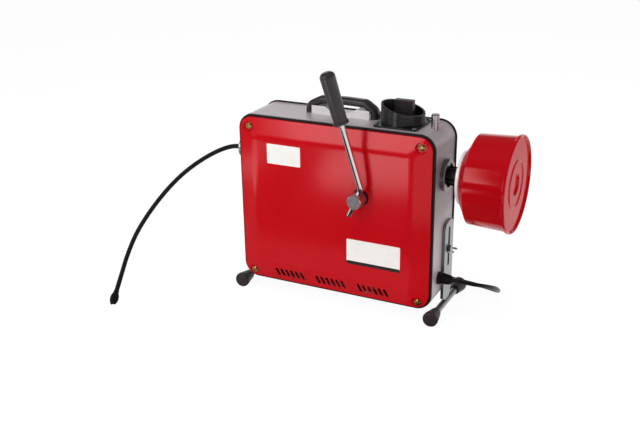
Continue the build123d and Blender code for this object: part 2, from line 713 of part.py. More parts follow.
def grip_plane():
    heading = Vector(ROD_SIDE, ROD_OUT, ROD_UP).normalized()
    foot = Vector(*GRIP_TOP) - heading * GRIP_L
    side = heading.cross(Vector(0, 1, 0)).normalized()
    return Plane(foot, x_dir=heading, z_dir=side)


def make_lever_rod():
    heading = Vector(ROD_SIDE, ROD_OUT, ROD_UP).normalized()
    far = Vector(*GRIP_TOP) - heading * (GRIP_L * 0.45)
    path = FilletPolyline(ROD_END, ROD_BEND, tuple(far), radius=ROD_BEND_R)
    return swept(path.edges(), ROD_R)


def make_lever_grip():
    plane = grip_plane()
    depth = GRIP_L * 0.58
    grip = turned(plane, [
        (0, ROD_R + SEAT_GAP), (0, GRIP_R + 0.6), (3.0, GRIP_R + 0.6), (4.5, GRIP_R - 1.4),
        (GRIP_L * 0.5, GRIP_R - 0.6), (GRIP_L, GRIP_R), (GRIP_L, 0), (depth, 0), (depth, ROD_R + SEAT_GAP)])
    crown = grip.faces().sort_by(Axis(plane.origin, plane.x_dir))[-1]
    return fillet(crown.edges(), GRIP_R * 0.7)


# Belt drive between the motor below and the pulley on the spindle
def make_pulley(plane, bottom, bore):
    x0 = BELT_X - BELT_W / 2 - BODY_GAP
    x1 = BELT_X + BELT_W / 2 + BODY_GAP
    lip = bottom + PULLEY_LIP
    wall0 = x0 - PULLEY_WALL
    wall1 = x1 + PULLEY_WALL
    return turned(plane, [
        (wall0, bore), (wall0, lip), (x0, lip), (x0, bottom), (x1, bottom), (x1, lip), (wall1, lip),
        (wall1, bore)])


def belt_loop(grow):
    plane = Plane((BELT_X - BELT_W / 2, 0, 0), x_dir=(0, 1, 0), z_dir=(1, 0, 0))
    upper = Pos(0, AXIS_Z) * Circle(DRIVEN_R + grow)
    lower = Pos(MOTOR_Y, MOTOR_Z) * Circle(DRIVE_R + grow)
    return extrude(plane * make_hull([*upper.edges(), *lower.edges()]), BELT_W)


def make_belt():
    return belt_loop(0.2 + BELT_T) - belt_loop(0.2)


def make_motor_housing():
    return turned(MOTOR_LINE, [
        (MOTOR_X0 - 6.0, MOTOR_SHAFT_R + RUN_GAP), (MOTOR_X0 - 6.0, 16.0), (MOTOR_X0, 18.0),
        (MOTOR_X0, MOTOR_R - 8.0), (MOTOR_X0 + MOTOR_BELL, MOTOR_R), (MOTOR_X1 - MOTOR_BELL, MOTOR_R),
        (MOTOR_X1, MOTOR_R - 8.0), (MOTOR_X1, 0), (MOTOR_X0 + 30.0, 0),
        (MOTOR_X0 + 30.0, MOTOR_SHAFT_R + RUN_GAP)])


def make_motor_cradle():
    x0 = MOTOR_X - CRADLE_L / 2
    x1 = MOTOR_X + CRADLE_L / 2
    y0 = MOTOR_Y - CRADLE_D / 2
    y1 = MOTOR_Y + CRADLE_D / 2
    cradle = block(x0, x1, y0, y1, FLOOR_IN, MOTOR_Z - CRADLE_DROP)
    cradle -= rod_x(x0 - 1, x1 + 1, MOTOR_R + SEAT_GAP, MOTOR_Y, MOTOR_Z)
    return cradle - block(x0 + CRADLE_T, x1 - CRADLE_T, y0 - 1, y1 + 1, FLOOR_IN + CRADLE_T, MOTOR_Z)


def make_motor_shaft():
    far = MOTOR_X0 + 29.0
    return turned(MOTOR_LINE, [
        (BELT_X - BELT_W, 0), (BELT_X - BELT_W, MOTOR_SHAFT_R), (far, MOTOR_SHAFT_R), (far, 0)])


def make_capacitor():
    z = FLOOR_IN + CAPACITOR_R
    tab = HUB_X + BRACKET_HALF + CAPACITOR_GAP
    cap = tab + CAPACITOR_TAB
    can = rod_x(cap + CAPACITOR_CAP, cap + CAPACITOR_CAP + CAPACITOR_L, CAPACITOR_R, CAPACITOR_Y, z)
    can += rod_x(cap, cap + CAPACITOR_CAP, CAPACITOR_R - 4.0, CAPACITOR_Y, z)
    for dy in (-CAPACITOR_R / 2.7, CAPACITOR_R / 2.7):
        can += block(tab, cap, CAPACITOR_Y + dy - 0.5, CAPACITOR_Y + dy + 0.5, z - 3.0, z + 3.0)
    return can


# Cable drum: spun shell, rolled lid, back ring and the hub whose claws enter the socket
def make_drum_shell():
    t = DRUM_T
    back = DRUM_BACK + 1.5
    return turned(SPINDLE_LINE, [
        (back, HUB_R + SEAT_GAP), (back, DRUM_NECK_R), (DRUM_CONE_X, DRUM_CONE_R),
        (DRUM_MOUTH_X, DRUM_MOUTH_R), (DRUM_MOUTH_X, DRUM_MOUTH_R - t),
        (DRUM_CONE_X + t * 0.5, DRUM_CONE_R - t),
        (back + t, DRUM_NECK_R - t * 0.6), (back + t, HUB_R + SEAT_GAP)])


def make_drum_lid():
    x = DRUM_MOUTH_X
    t = DRUM_T
    rim = DRUM_RIM_T
    return turned(SPINDLE_LINE, [
        (x - 1.0, DRUM_MOUTH_R + 0.2), (x - 1.0, DRUM_RIM_R - 0.8), (x + rim * 0.3, DRUM_RIM_R),
        (x + rim * 0.8, DRUM_RIM_R - 0.4), (x + rim, DRUM_RIM_R - 1.6), (x + rim - 0.6, DRUM_RIM_R - 3.2),
        (x + 1.5, DRUM_RIM_R - 4.6), (x + 1.5, LID_RING_R + 3.0), (x + 3.0, LID_RING_R + 1.5),
        (x + 3.0, LID_RING_R - 1.5), (x + 1.5, LID_RING_R - 3.0), (x + 1.5, LID_DIMPLE_R + 2.0),
        (x - 1.5, LID_DIMPLE_R), (x - 1.5, 0), (x - 1.5 - t, 0),
        (x - 1.5 - t, LID_DIMPLE_R + 1.0), (x + 0.05, LID_DIMPLE_R + 3.0), (x + 0.05, DRUM_MOUTH_R + 0.2)])


def make_drum_ring():
    x = DRUM_BACK
    return turned(SPINDLE_LINE, [
        (x - DRUM_RING_T, HUB_R + 8.0), (x - DRUM_RING_T, DRUM_RING_R - 1.0),
        (x - DRUM_RING_T + 1.0, DRUM_RING_R), (x + 1.5, DRUM_RING_R),
        (x + 1.5, HUB_R + 8.0)])


def make_drum_hub():
    end = DRUM_BACK + 16.0
    flange = DRUM_BACK - DRUM_RING_T + 0.5
    hub = turned(SPINDLE_LINE, [
        (SOCKET_X0 + 23.0, CABLE_R + 2.0), (SOCKET_X0 + 23.0, HUB_R), (flange, HUB_R),
        (flange, HUB_R + 7.5), (DRUM_BACK + 1.5, HUB_R + 7.5), (DRUM_BACK + 1.5, HUB_R),
        (end, HUB_R), (end, CABLE_R + SEAT_GAP), (end - 4.0, CABLE_R + SEAT_GAP), (end - 4.0, CABLE_R + 2.0)])
    for k in range(CLAWS):
        claw = block(SOCKET_X1 - 7.0, CLAW_REACH, -CLAW_W / 2, CLAW_W / 2, HUB_R - 1.5, CLAW_R)
        hub += Pos(0, 0, AXIS_Z) * Rot(CLAW_TURN + 360 / CLAWS * k, 0, 0) * claw
    return hub


def make_cable_pack():
    x0 = DRUM_CONE_X + 2.0
    x1 = DRUM_MOUTH_X - 3.0
    inner = DRUM_CONE_R - 30.0
    outer = DRUM_CONE_R - DRUM_T - BODY_GAP - 0.4
    return turned(SPINDLE_LINE, [
        (x0 + 3, inner), (x0, inner + 3), (x0, outer - 3), (x0 + 3, outer), (x1 - 3, outer), (x1, outer - 3),
        (x1, inner + 3), (x1 - 3, inner)])


def make_inner_cable():
    return rod_x(INNER_CABLE_END, DRUM_MOUTH_X - 20.0, CABLE_R, 0, AXIS_Z)


# Reversing switch on top: flanged guard cup, grip knob and the switch below
def switch_screw_places():
    return [(SWITCH_X + dx * SWITCH_SCREW_AT, dy * SWITCH_SCREW_AT) for dx in (-1, 1) for dy in (-1, 1)]


def make_switch_guard():
    z0 = TOP_Z
    outline = RectangleRounded(SWITCH_PLATE, SWITCH_PLATE, 6.0)
    guard = Pos(SWITCH_X, 0, z0) * extrude(outline, SWITCH_PLATE_T)
    guard += rod_z(z0, z0 + 2 * GUARD_H, GUARD_R, SWITCH_X, 0)
    guard -= rod_z(z0 + GUARD_FLOOR, z0 + 2 * GUARD_H + 1, GUARD_R - GUARD_T, SWITCH_X, 0)
    above = Box(4 * GUARD_R, 4 * GUARD_R, 4 * GUARD_H, align=(Align.CENTER, Align.CENTER, Align.MIN))
    guard -= Pos(SWITCH_X, 0, z0 + GUARD_H) * Rot(0, GUARD_SLANT, 0) * above
    guard -= rod_z(z0 - 1, z0 + GUARD_FLOOR + 1, KNOB_SHAFT_R + 0.5, SWITCH_X, 0)
    for x, y in switch_screw_places():
        guard -= rod_z(z0 - 1, z0 + SWITCH_PLATE_T + 1, SWITCH_SCREW_R + SEAT_GAP, x, y)
    return guard


def make_switch_screws():
    screws = []
    z0 = TOP_Z + SWITCH_PLATE_T
    r = SWITCH_SCREW_R
    for x, y in switch_screw_places():
        head = turned(Plane((x, y, z0), x_dir=(0, 0, 1), z_dir=(1, 0, 0)), [
            (-SWITCH_PLATE_T, 0), (-SWITCH_PLATE_T, r), (0, r), (0, 2 * r), (1.2, 1.8 * r), (2.0, r),
            (2.2, 0)])
        screws.append(head - Pos(x, y, z0 + 2.0) * Rot(0, 0, 30) * Box(5 * r, 1.0, 1.6))
    return Compound(children=screws)


def make_switch_knob():
    z0 = TOP_Z + GUARD_FLOOR + BODY_GAP
    z1 = z0 + KNOB_DISC_T
    top = TOP_Z + KNOB_TOP
    knob = rod_z(z0, z1, KNOB_R, SWITCH_X, 0)
    grip = Pos(SWITCH_X, KNOB_SET, (z1 + top) / 2) * Box(KNOB_L, KNOB_T, top - z1)
    grip = fillet(grip.edges().filter_by(Axis.Z), 3.0)
    grip = fillet(grip.faces().sort_by(Axis.Z)[-1].edges(), 1.5)
    return knob + grip + rod_z(CEILING - KNOB_SHAFT_L, z0, KNOB_SHAFT_R, SWITCH_X, 0)


def make_switch_block():
    half = SWITCH_BLOCK_W / 2
    box = block(SWITCH_X - half, SWITCH_X + half, -half, half, CEILING - SWITCH_BLOCK_H, CEILING)
    return box - rod_z(CEILING - KNOB_SHAFT_L - 1.0, CEILING + 1, KNOB_SHAFT_R + 0.5, SWITCH_X, 0)


# Carry handle: moulded bow whose ends are pinned to a plated tray
def make_carry_handle():
    leg_x = (HANDLE_L - LUG_L) / 2
    rise = HANDLE_TOP - LUG_L / 2
    knee = TOP_Z + rise * 0.5
    bow = [(-leg_x, TOP_Z), (-leg_x, knee), (-leg_x + 23.0, TOP_Z + rise - 1.5), (8.0, TOP_Z + rise),
           (leg_x - 18.0, TOP_Z + rise - 1.0), (leg_x, knee), (leg_x, TOP_Z)]
    spine = [(HANDLE_X + x, HANDLE_Y, z) for x, z in bow]
    path = FilletPolyline(*spine, radius=[HANDLE_BEND_R, HANDLE_BEND_R, 120.0, HANDLE_BEND_R, HANDLE_BEND_R])
    start = Plane(spine[0], x_dir=(1, 0, 0), z_dir=(0, 0, 1))
    section = start * RectangleRounded(LUG_L, HANDLE_D, LUG_L * 0.45)
    handle = sweep(section, path=path)
    for sx in (-1, 1):
        x = HANDLE_X + sx * leg_x
        handle -= rod_z(TOP_Z, TOP_Z + HANDLE_BOLT_IN, HANDLE_BOLT_R + SEAT_GAP, x, HANDLE_Y)
    return handle


def make_handle_tray():
    half = TRAY_L / 2
    flank = TRAY_END_L
    plane = Plane((HANDLE_X, HANDLE_Y, TOP_Z), x_dir=(1, 0, 0), z_dir=(0, -1, 0))
    side = make_face(Polyline(
        (-half, 0), (half, 0), (half, TRAY_END_H), (half - flank, TRAY_END_H),
        (half - flank - TRAY_SLANT, TRAY_MID_H), (-half + flank + TRAY_SLANT, TRAY_MID_H),
        (-half + flank, TRAY_END_H), (-half, TRAY_END_H), close=True))
    tray = extrude(plane * side, TRAY_D / 2, both=True)
    tray -= block(HANDLE_X - half - 1, HANDLE_X + half + 1, HANDLE_Y - TRAY_D / 2 + TRAY_T,
                  HANDLE_Y + TRAY_D / 2 - TRAY_T, TOP_Z + TRAY_T, TOP_Z + TRAY_END_H + 1)
    for x in tray_bolt_places():
        tray -= rod_z(TOP_Z - 1, TOP_Z + TRAY_T + 1, HANDLE_BOLT_R + SEAT_GAP, x, HANDLE_Y)
    return tray


def tray_bolt_places():
    return [HANDLE_X + sx * (TRAY_L / 2 - TRAY_END_L) for sx in (-1, 1)]


def lug_bolt_places():
    return [HANDLE_X + sx * (HANDLE_L - LUG_L) / 2 for sx in (-1, 1)]


# Bolts from inside the case into the handle's ends, and rivets that hold the tray
def make_handle_bolts():
    bolts = []
    for x in lug_bolt_places():
        bolt = rod_z(CEILING, TOP_Z + HANDLE_BOLT_IN - 0.5, HANDLE_BOLT_R, x, HANDLE_Y)
        bolts.append(bolt + rod_z(CEILING - 4.0, CEILING, HANDLE_BOLT_R * 1.8, x, HANDLE_Y))
    for x in tray_bolt_places():
        rivet = rod_z(CEILING, TOP_Z + TRAY_T, HANDLE_BOLT_R, x, HANDLE_Y)
        rivet += rod_z(CEILING - 1.5, CEILING, HANDLE_BOLT_R * 1.6, x, HANDLE_Y)
        bolts.append(rivet + rod_z(TOP_Z + TRAY_T, TOP_Z + TRAY_T + 1.5, HANDLE_BOLT_R * 1.6, x, HANDLE_Y))
    return Compound(children=bolts)


# Spindle lock: press-down pin and its spring
def make_lock_pin():
    line = Plane((PIN_X, PIN_Y, TOP_Z), x_dir=(0, 0, 1), z_dir=(1, 0, 0))
    outline = [(PIN_TOP, 0), (PIN_TOP, PIN_R - 1.0), (PIN_TOP - 1.0, PIN_R)]
    for drop in PIN_GROOVES:
        high = PIN_TOP - drop
        low = high - PIN_GROOVE_W
        outline += [(high, PIN_R), (high, PIN_R - PIN_GROOVE_D), (low, PIN_R - PIN_GROOVE_D), (low, PIN_R)]
    return turned(line, outline + [
        (PIN_SHOULDER - TOP_Z, PIN_R), (PIN_SHOULDER - TOP_Z, STEM_R),
        (AXIS_Z + SOCKET_R + 1.0 - TOP_Z, STEM_R), (AXIS_Z + SOCKET_R + 1.0 - TOP_Z, 0)])


def make_lock_spring():
    low = SPRING_SEAT + SPRING_WIRE / 2 + 0.2
    high = PIN_SHOULDER - SPRING_WIRE / 2 - 0.2
    rise = (high - low) / (SPRING_TURNS * 2 * math.pi)

    def at(a):
        return Vector(PIN_X + SPRING_R * math.cos(a), PIN_Y + SPRING_R * math.sin(a), low + rise * a)
    print("lock_spring gap", round(least_gap(at, SPRING_TURNS, SPRING_WIRE), 2))
    return swept(wound_path(at, SPRING_TURNS, 0.5), SPRING_WIRE / 2)


# Legs: slotted bar with a welded cross tube, rubber feet and the clamp bolt in the slot
def make_leg(side):
    plane = Plane((side * LEG_X, LEG_Y, (LEG_TOP + FOOT_Z) / 2), x_dir=(0, 1, 0), z_dir=(1, 0, 0))
    height = LEG_TOP - FOOT_Z
    bar = extrude(plane * Rectangle(LEG_W, height), LEG_T / 2, both=True)
    bar = fillet(bar.edges().filter_by(Axis.X).group_by(Axis.Z)[-1], LEG_TOP_R)
    bar = chamfer(bar.edges().filter_by(Axis.X).group_by(Axis.Z)[0], LEG_CUT_W, LEG_CUT_H)
    slot_mid = (LEG_SLOT_LOW + LEG_SLOT_HIGH) / 2
    slot_plane = Plane((side * LEG_X, LEG_Y, slot_mid), x_dir=(0, 0, 1), z_dir=(1, 0, 0))
    slot = SlotOverall(LEG_SLOT_HIGH - LEG_SLOT_LOW, 2 * (LEG_BOLT_R + LEG_SLOT_GAP))
    bar -= extrude(slot_plane * slot, LEG_T, both=True)
    half = FOOT_SPAN / 2 - FOOT_L * 0.35
    return bar + rod_y(LEG_Y - half, LEG_Y + half, LEG_TUBE_R, side * LEG_X, FOOT_Z)


def make_foot_caps(side):
    caps = []
    for sy in (-1, 1):
        tip = Plane((side * LEG_X, LEG_Y + sy * FOOT_SPAN / 2, FOOT_Z), x_dir=(0, -sy, 0), z_dir=(1, 0, 0))
        caps.append(turned(tip, [
            (0, 0), (0, FOOT_R - 3.0), (1.0, FOOT_R - 1.0), (3.0, FOOT_R), (7.0, FOOT_R),
            (FOOT_L, FOOT_NECK_R),
            (FOOT_L, LEG_TUBE_R + SEAT_GAP), (FOOT_L * 0.35, LEG_TUBE_R + SEAT_GAP), (FOOT_L * 0.35, 0)]))
    return Compound(children=caps)


def make_leg_bolts():
    bolts = []
    for side in (-1, 1):
        face = LEG_X0 + LEG_T + BODY_GAP
        line = Plane((side * face, LEG_Y, LEG_BOLT_Z), x_dir=(side, 0, 0), z_dir=(0, -1, 0))
        tail = INNER_X - face - LEG_BOLT_TAIL
        bolt = turned(line, [
            (tail, 0), (tail, LEG_BOLT_R), (0, LEG_BOLT_R), (0, LEG_WASHER_R), (LEG_WASHER_T, LEG_WASHER_R),
            (LEG_WASHER_T, 0)])
        seat = Plane((side * (face + LEG_WASHER_T), LEG_Y, LEG_BOLT_Z), z_dir=(side, 0, 0))
        head = extrude(seat * RegularPolygon(LEG_HEX_R, 6), LEG_HEAD_H)
        inside = Plane((side * INNER_X, LEG_Y, LEG_BOLT_Z), z_dir=(-side, 0, 0))
        nut = extrude(inside * (RegularPolygon(LEG_NUT_R, 6) - Circle(LEG_BOLT_R + SEAT_GAP)), LEG_NUT_H)
        bolts += [bolt + head, nut]
    return Compound(children=bolts)


# Cord gland on the drum end
def make_gland():
    line = Plane((END_X, GLAND_Y, GLAND_Z), x_dir=(1, 0, 0), z_dir=(0, -1, 0))
    return turned(line, [
        (-BAND_T - 6.0, CORD_D / 2), (-BAND_T - 6.0, GLAND_NUT_R), (-BAND_T, GLAND_NUT_R),
        (-BAND_T, GLAND_BODY_R), (0, GLAND_BODY_R), (0, GLAND_NUT_R), (GLAND_NUT_L * 0.55, GLAND_NUT_R),
        (GLAND_NUT_L * 0.6, GLAND_NUT_R - 1.2), (GLAND_NUT_L, GLAND_NUT_R - 1.2),
        (GLAND_NUT_L + 2.0, GLAND_BODY_R + 1.0), (GLAND_L - 6.0, GLAND_BODY_R),
        (GLAND_L - 1.5, GLAND_BODY_R - 2.0), (GLAND_L, CORD_D / 2 + 1.0), (GLAND_L, CORD_D / 2)])


# Coil of the put-away lead: spirals in and out, climbing a layer where it turns back
LAYER_ANGLE = 2 * math.pi * COIL_TURNS
CLIMB = math.pi
COIL_RATE = COIL_PITCH / (2 * math.pi)
COIL_LOW = TIE_T + BODY_GAP + CORD_D / 2
COIL_OUT_R = COIL_MID_R + COIL_RATE * LAYER_ANGLE / 2
COIL_IN_R = COIL_MID_R - COIL_RATE * LAYER_ANGLE / 2
COIL_START = math.radians(-90.0)
COIL_ALL_TURNS = COIL_LAYERS * COIL_TURNS + (COIL_LAYERS - 1) * 0.5


def coil_at(angle):
    block_angle = LAYER_ANGLE + CLIMB
    layer = min(max(int(angle // block_angle), 0), COIL_LAYERS - 1)
    s = angle - layer * block_angle
    inward = layer % 2 == 0
    start_r = COIL_OUT_R if inward else COIL_IN_R
    sign = -1 if inward else 1
    z = COIL_LOW + COIL_PITCH * layer
    if s <= LAYER_ANGLE or layer == COIL_LAYERS - 1:
        r = start_r + sign * COIL_RATE * s
    else:
        c = s - LAYER_ANGLE
        r = start_r + sign * (COIL_RATE * LAYER_ANGLE + COIL_RATE * c - COIL_RATE * c * c / CLIMB)
        z += COIL_PITCH * (c / CLIMB - math.sin(2 * math.pi * c / CLIMB) / (2 * math.pi))
    around = COIL_START - angle
    return Vector(COIL_X + r * math.cos(around), COIL_Y + r * math.sin(around), z)


def coil_heading(angle):
    h = 1e-5
    return (coil_at(angle + h) - coil_at(angle - h)).normalized()


def make_cord_coil():
    print("cord_coil gap", round(least_gap(coil_at, COIL_ALL_TURNS, CORD_D), 2))
    edges = wound_path(coil_at, COIL_ALL_TURNS, 0.25)
    cords["cord_coil"] = sum(e.length for e in edges)
    return swept(edges, CORD_D / 2)


def make_tie():
    angle = math.radians(150.0)
    wide = COIL_OUT_R - COIL_IN_R + CORD_D + COIL_RATE * CLIMB / 2 + 4 * BODY_GAP
    tall = COIL_PITCH * (COIL_LAYERS - 1) + CORD_D + 2 * BODY_GAP
    across = Vector(math.cos(angle), math.sin(angle), 0)
    middle = Vector(COIL_X, COIL_Y, TIE_T + tall / 2) + across * COIL_MID_R
    plane = Plane(middle, x_dir=across, z_dir=(-math.sin(angle), math.cos(angle), 0))
    loop = RectangleRounded(wide + 2 * TIE_T, tall + 2 * TIE_T, 4.0) - RectangleRounded(wide, tall, 2.5)
    return extrude(plane * loop, TIE_W / 2, both=True)


# Free stretch of the drain cable, from inside the nose collar down to the floor
AUGER_HEADING = Vector(0.30, -0.83, -0.469).normalized()
AUGER_FOOT = (-368.7, -205.1, 17.4)
CABLE_ROUTE = [
    (INNER_CABLE_END - BODY_GAP, 0, AXIS_Z), (INNER_CABLE_END - 18.0, 0, AXIS_Z), (-243, -4, 252),
    (-268, -15, 240), (-292, -34, 223.5), (-314, -58, 202.5), (-334, -85, 174.5), (-352, -113, 141),
    (-366, -138, 106.5), (-373.5, -160, 70), (-376.1, -176.4, 40.3),
    tuple(Vector(*AUGER_FOOT) - AUGER_HEADING * 16.0), AUGER_FOOT]


# Wound auger head: a socket on the cable's end and an open barrel of wire
def make_auger():
    line = Plane(AUGER_FOOT, x_dir=AUGER_HEADING, z_dir=AUGER_HEADING.cross(Vector(0, 0, 1)))
    pitch = AUGER_L / AUGER_TURNS
    tip = AUGER_SOCKET + 1.5
    socket = turned(line, [
        (0, 0), (0, CABLE_R + 1.0), (AUGER_SOCKET, CABLE_R + 1.0), (tip, CABLE_R - 1.0), (tip, 0)])
    first = AUGER_SOCKET + AUGER_WIRE / 2 + BODY_GAP

    def at(a):
        share = a / (2 * math.pi * AUGER_TURNS)
        r = AUGER_R - AUGER_WIRE / 2 - AUGER_TAPER * (2 * share - 1) ** 2
        along = first + pitch * a / (2 * math.pi)
        return line.from_local_coords(Vector(along, r * math.cos(a), r * math.sin(a)))

    print("auger_head gap", round(least_gap(at, AUGER_TURNS, AUGER_WIRE), 2))
    return Compound(children=[socket, swept(wound_path(at, AUGER_TURNS, 0.25), AUGER_WIRE / 2)])


# Mains lead: from the gland to the floor, round behind the case to the coil, then to its plug
COIL_IN = coil_at(0)
COIL_END = coil_at(2 * math.pi * COIL_ALL_TURNS)
COIL_IN_HEADING = coil_heading(0)
COIL_END_HEADING = coil_heading(2 * math.pi * COIL_ALL_TURNS)
CORD_X = END_X + GLAND_L
LEAD_ROUTE = [
    (CORD_X, GLAND_Y, GLAND_Z), (CORD_X + 18, GLAND_Y, GLAND_Z), (CORD_X + 36, -10.0, 70.5), (261.5, 2, 65.5),
    (269.5, 20, 57), (272, 41, 46), (270.5, 61, 34.5), (267, 80, 23), (261, 96.5, 13.5), (251, 110, 8),
    (236.5, 119, COIL_IN.Z), (217, 123, COIL_IN.Z), (196, 125.5, COIL_IN.Z), (173, 129, COIL_IN.Z),
    (145, 133.5, COIL_IN.Z), (113, 138, COIL_IN.Z), (80, 141, COIL_IN.Z), (46, 141.5, COIL_IN.Z),
    tuple(COIL_IN - COIL_IN_HEADING * 20.0), tuple(COIL_IN)]
PLUG_X = COIL_X + 74.0
PLUG_LEAD_ROUTE = [
    tuple(COIL_END), tuple(COIL_END + COIL_END_HEADING * 16.0),
    (COIL_X + 36.0, COIL_END.Y + 0.6, COIL_END.Z - 4.6),
    (PLUG_X - 17.0, COIL_END.Y + 0.6, PLUG_R + 0.4), (PLUG_X, COIL_END.Y + 0.6, PLUG_R + 0.4)]


def make_plug():
    line = Plane((PLUG_X, COIL_END.Y + 0.6, PLUG_R + 0.4), x_dir=(1, 0, 0), z_dir=(0, -1, 0))
    body = turned(line, [
        (0, 0), (0, CORD_D / 2 + 1.5), (12.0, CORD_D / 2 + 3.5), (14.0, PLUG_R * 0.75),
        (PLUG_L - 12.0, PLUG_R * 0.85), (PLUG_L - 9.0, PLUG_R), (PLUG_L, PLUG_R), (PLUG_L, 0)])
    for dy in (-9.5, 9.5):
        pin = rod_x(PLUG_X + PLUG_L - 1.0, PLUG_X + PLUG_L + 19.0, 2.4, COIL_END.Y + 0.6 + dy, PLUG_R + 0.4)
        body += pin
    return body


nodes["body_band"] = make_band()
nodes["front_cover"] = make_front_cover()
nodes["rear_cover"] = mirror(make_cover(REAR_BULGE), Plane.XZ)
nodes["front_gasket"] = make_gasket(-1)
nodes["rear_gasket"] = make_gasket(1)
nodes["cover_screws"] = make_cover_screws()
nodes["end_bolt"] = make_end_bolt()
nodes["nose_collar"] = make_nose_collar()
nodes["rear_collar"] = make_rear_collar()
nodes["front_bearing"] = make_bearing(-INNER_X + FLANGE_T + NOSE_HOUSING - BEARING_W - 2.0)
nodes["rear_bearing"] = make_bearing(INNER_X - FLANGE_T - REAR_HOUSING + 2.0)
nodes["spindle"] = make_spindle()
nodes["driven_pulley"] = make_pulley(SPINDLE_LINE, DRIVEN_R, SPINDLE_R + SEAT_GAP)
nodes["inner_cable"] = make_inner_cable()
nodes["drum_shell"] = make_drum_shell()
nodes["drum_lid"] = make_drum_lid()
nodes["drum_ring"] = make_drum_ring()
nodes["drum_hub"] = make_drum_hub()
nodes["cable_pack"] = make_cable_pack()
nodes["thrust_sleeve"] = make_sleeve()
for index, name in enumerate(("jaw_a", "jaw_b", "jaw_c")):
    nodes[name] = make_jaw(index)
nodes["shift_fork"] = make_fork()
nodes["fork_pin"] = make_fork_pin()
nodes["lever_bracket"] = make_lever_bracket()
nodes["lever_bush"] = make_lever_bush()
nodes["lever_shaft"] = make_lever_shaft()
nodes["lever_hub"] = make_lever_hub()
nodes["lever_rod"] = make_lever_rod()
nodes["lever_grip"] = make_lever_grip()
nodes["drive_belt"] = make_belt()
nodes["drive_pulley"] = make_pulley(MOTOR_LINE, DRIVE_R, MOTOR_SHAFT_R + SEAT_GAP)
nodes["motor_shaft"] = make_motor_shaft()
nodes["motor_housing"] = make_motor_housing()
nodes["motor_cradle"] = make_motor_cradle()
nodes["capacitor"] = make_capacitor()
nodes["switch_guard"] = make_switch_guard()
nodes["switch_screws"] = make_switch_screws()
nodes["switch_knob"] = make_switch_knob()
nodes["switch_block"] = make_switch_block()
nodes["carry_handle"] = make_carry_handle()
nodes["handle_tray"] = make_handle_tray()
nodes["handle_bolts"] = make_handle_bolts()
nodes["lock_pin"] = make_lock_pin()
nodes["lock_spring"] = make_lock_spring()
for name, side in (("left", -1), ("right", 1)):
    nodes[name + "_leg"] = make_leg(side)
    nodes[name + "_foot_caps"] = make_foot_caps(side)
nodes["leg_bolts"] = make_leg_bolts()
nodes["cord_gland"] = make_gland()

# The origin of the finished part is the middle of the footprint, cables left aside
boxes = [shape.bounding_box() for shape in nodes.values()]
mid_x = (min(b.min.X for b in boxes) + max(b.max.X for b in boxes)) / 2
mid_y = (min(b.min.Y for b in boxes) + max(b.max.Y for b in boxes)) / 2
SHIFT = Vector(-mid_x, -mid_y, -min(b.min.Z for b in boxes))
print("shift", SHIFT)

nodes["drain_cable"] = cord_tube("drain_cable", CABLE_ROUTE, CABLE_R)
nodes["auger_head"] = make_auger()
nodes["power_cord"] = cord_tube("power_cord", LEAD_ROUTE, CORD_D / 2)
nodes["cord_coil"] = make_cord_coil()
nodes["cord_tie"] = make_tie()
nodes["plug_lead"] = cord_tube("plug_lead", PLUG_LEAD_ROUTE, CORD_D / 2)
nodes["mains_plug"] = make_plug()

os.makedirs("parts", exist_ok=True)
for name, shape in nodes.items():
    export_step(Pos(SHIFT) * shape, "parts/" + name + ".step")
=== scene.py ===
import math
import bpy
from bpy.props import FloatProperty, FloatVectorProperty, PointerProperty
from mathutils import Matrix, Quaternion, Vector


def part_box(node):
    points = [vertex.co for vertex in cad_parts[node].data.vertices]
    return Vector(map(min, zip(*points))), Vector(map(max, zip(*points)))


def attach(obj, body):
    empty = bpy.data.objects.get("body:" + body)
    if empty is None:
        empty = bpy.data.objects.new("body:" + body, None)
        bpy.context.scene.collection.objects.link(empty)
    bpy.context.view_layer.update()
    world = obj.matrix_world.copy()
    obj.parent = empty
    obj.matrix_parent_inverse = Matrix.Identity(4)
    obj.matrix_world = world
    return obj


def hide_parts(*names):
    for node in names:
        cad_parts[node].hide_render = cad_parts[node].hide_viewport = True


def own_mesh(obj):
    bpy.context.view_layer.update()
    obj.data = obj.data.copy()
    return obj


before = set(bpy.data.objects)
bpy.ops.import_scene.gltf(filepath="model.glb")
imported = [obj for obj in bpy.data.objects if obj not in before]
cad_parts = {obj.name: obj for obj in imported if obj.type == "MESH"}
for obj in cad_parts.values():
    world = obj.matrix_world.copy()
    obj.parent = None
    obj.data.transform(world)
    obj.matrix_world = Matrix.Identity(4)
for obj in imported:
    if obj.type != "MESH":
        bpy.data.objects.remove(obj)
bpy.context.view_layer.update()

bl_info = {
    "name": "Drain cleaning machine",
    "version": (1, 0, 0),
    "blender": (4, 5, 0),
    "location": "3D View > Sidebar > Drain machine",
    "description": "Dresses the drain cleaning machine with its cables, plates, finishes and studio",
    "category": "Object",
}

# The case's own middle, from which routes and plates are written in millimetres
BAND_LOW, BAND_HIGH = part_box("body_band")
CASE_X = (BAND_LOW.x + BAND_HIGH.x) / 2
CASE_Y = (BAND_LOW.y + BAND_HIGH.y) / 2
PANEL_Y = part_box("front_cover")[0].y

# Points on each turn of a wire, steps from point to point of a wire and of the lead, and steps round a corner
TURN_POINTS = 16
WIRE_STEPS = 4
LEAD_STEPS = 6
CORNER_STEPS = 6

# Free stretch of the drain cable and its straight run into the head, in millimetres
CABLE_ROUTE = [
    (-203.3, 0, 257), (-221, 0, 257), (-243, -4, 252), (-268, -15, 240), (-292, -34, 223.5),
    (-314, -58, 202.5), (-334, -85, 174.5), (-352, -113, 141), (-366, -138, 106.5),
    (-373.5, -160, 70), (-376.1, -176.4, 40.3)]
HEAD_LEAD_IN = 16.0

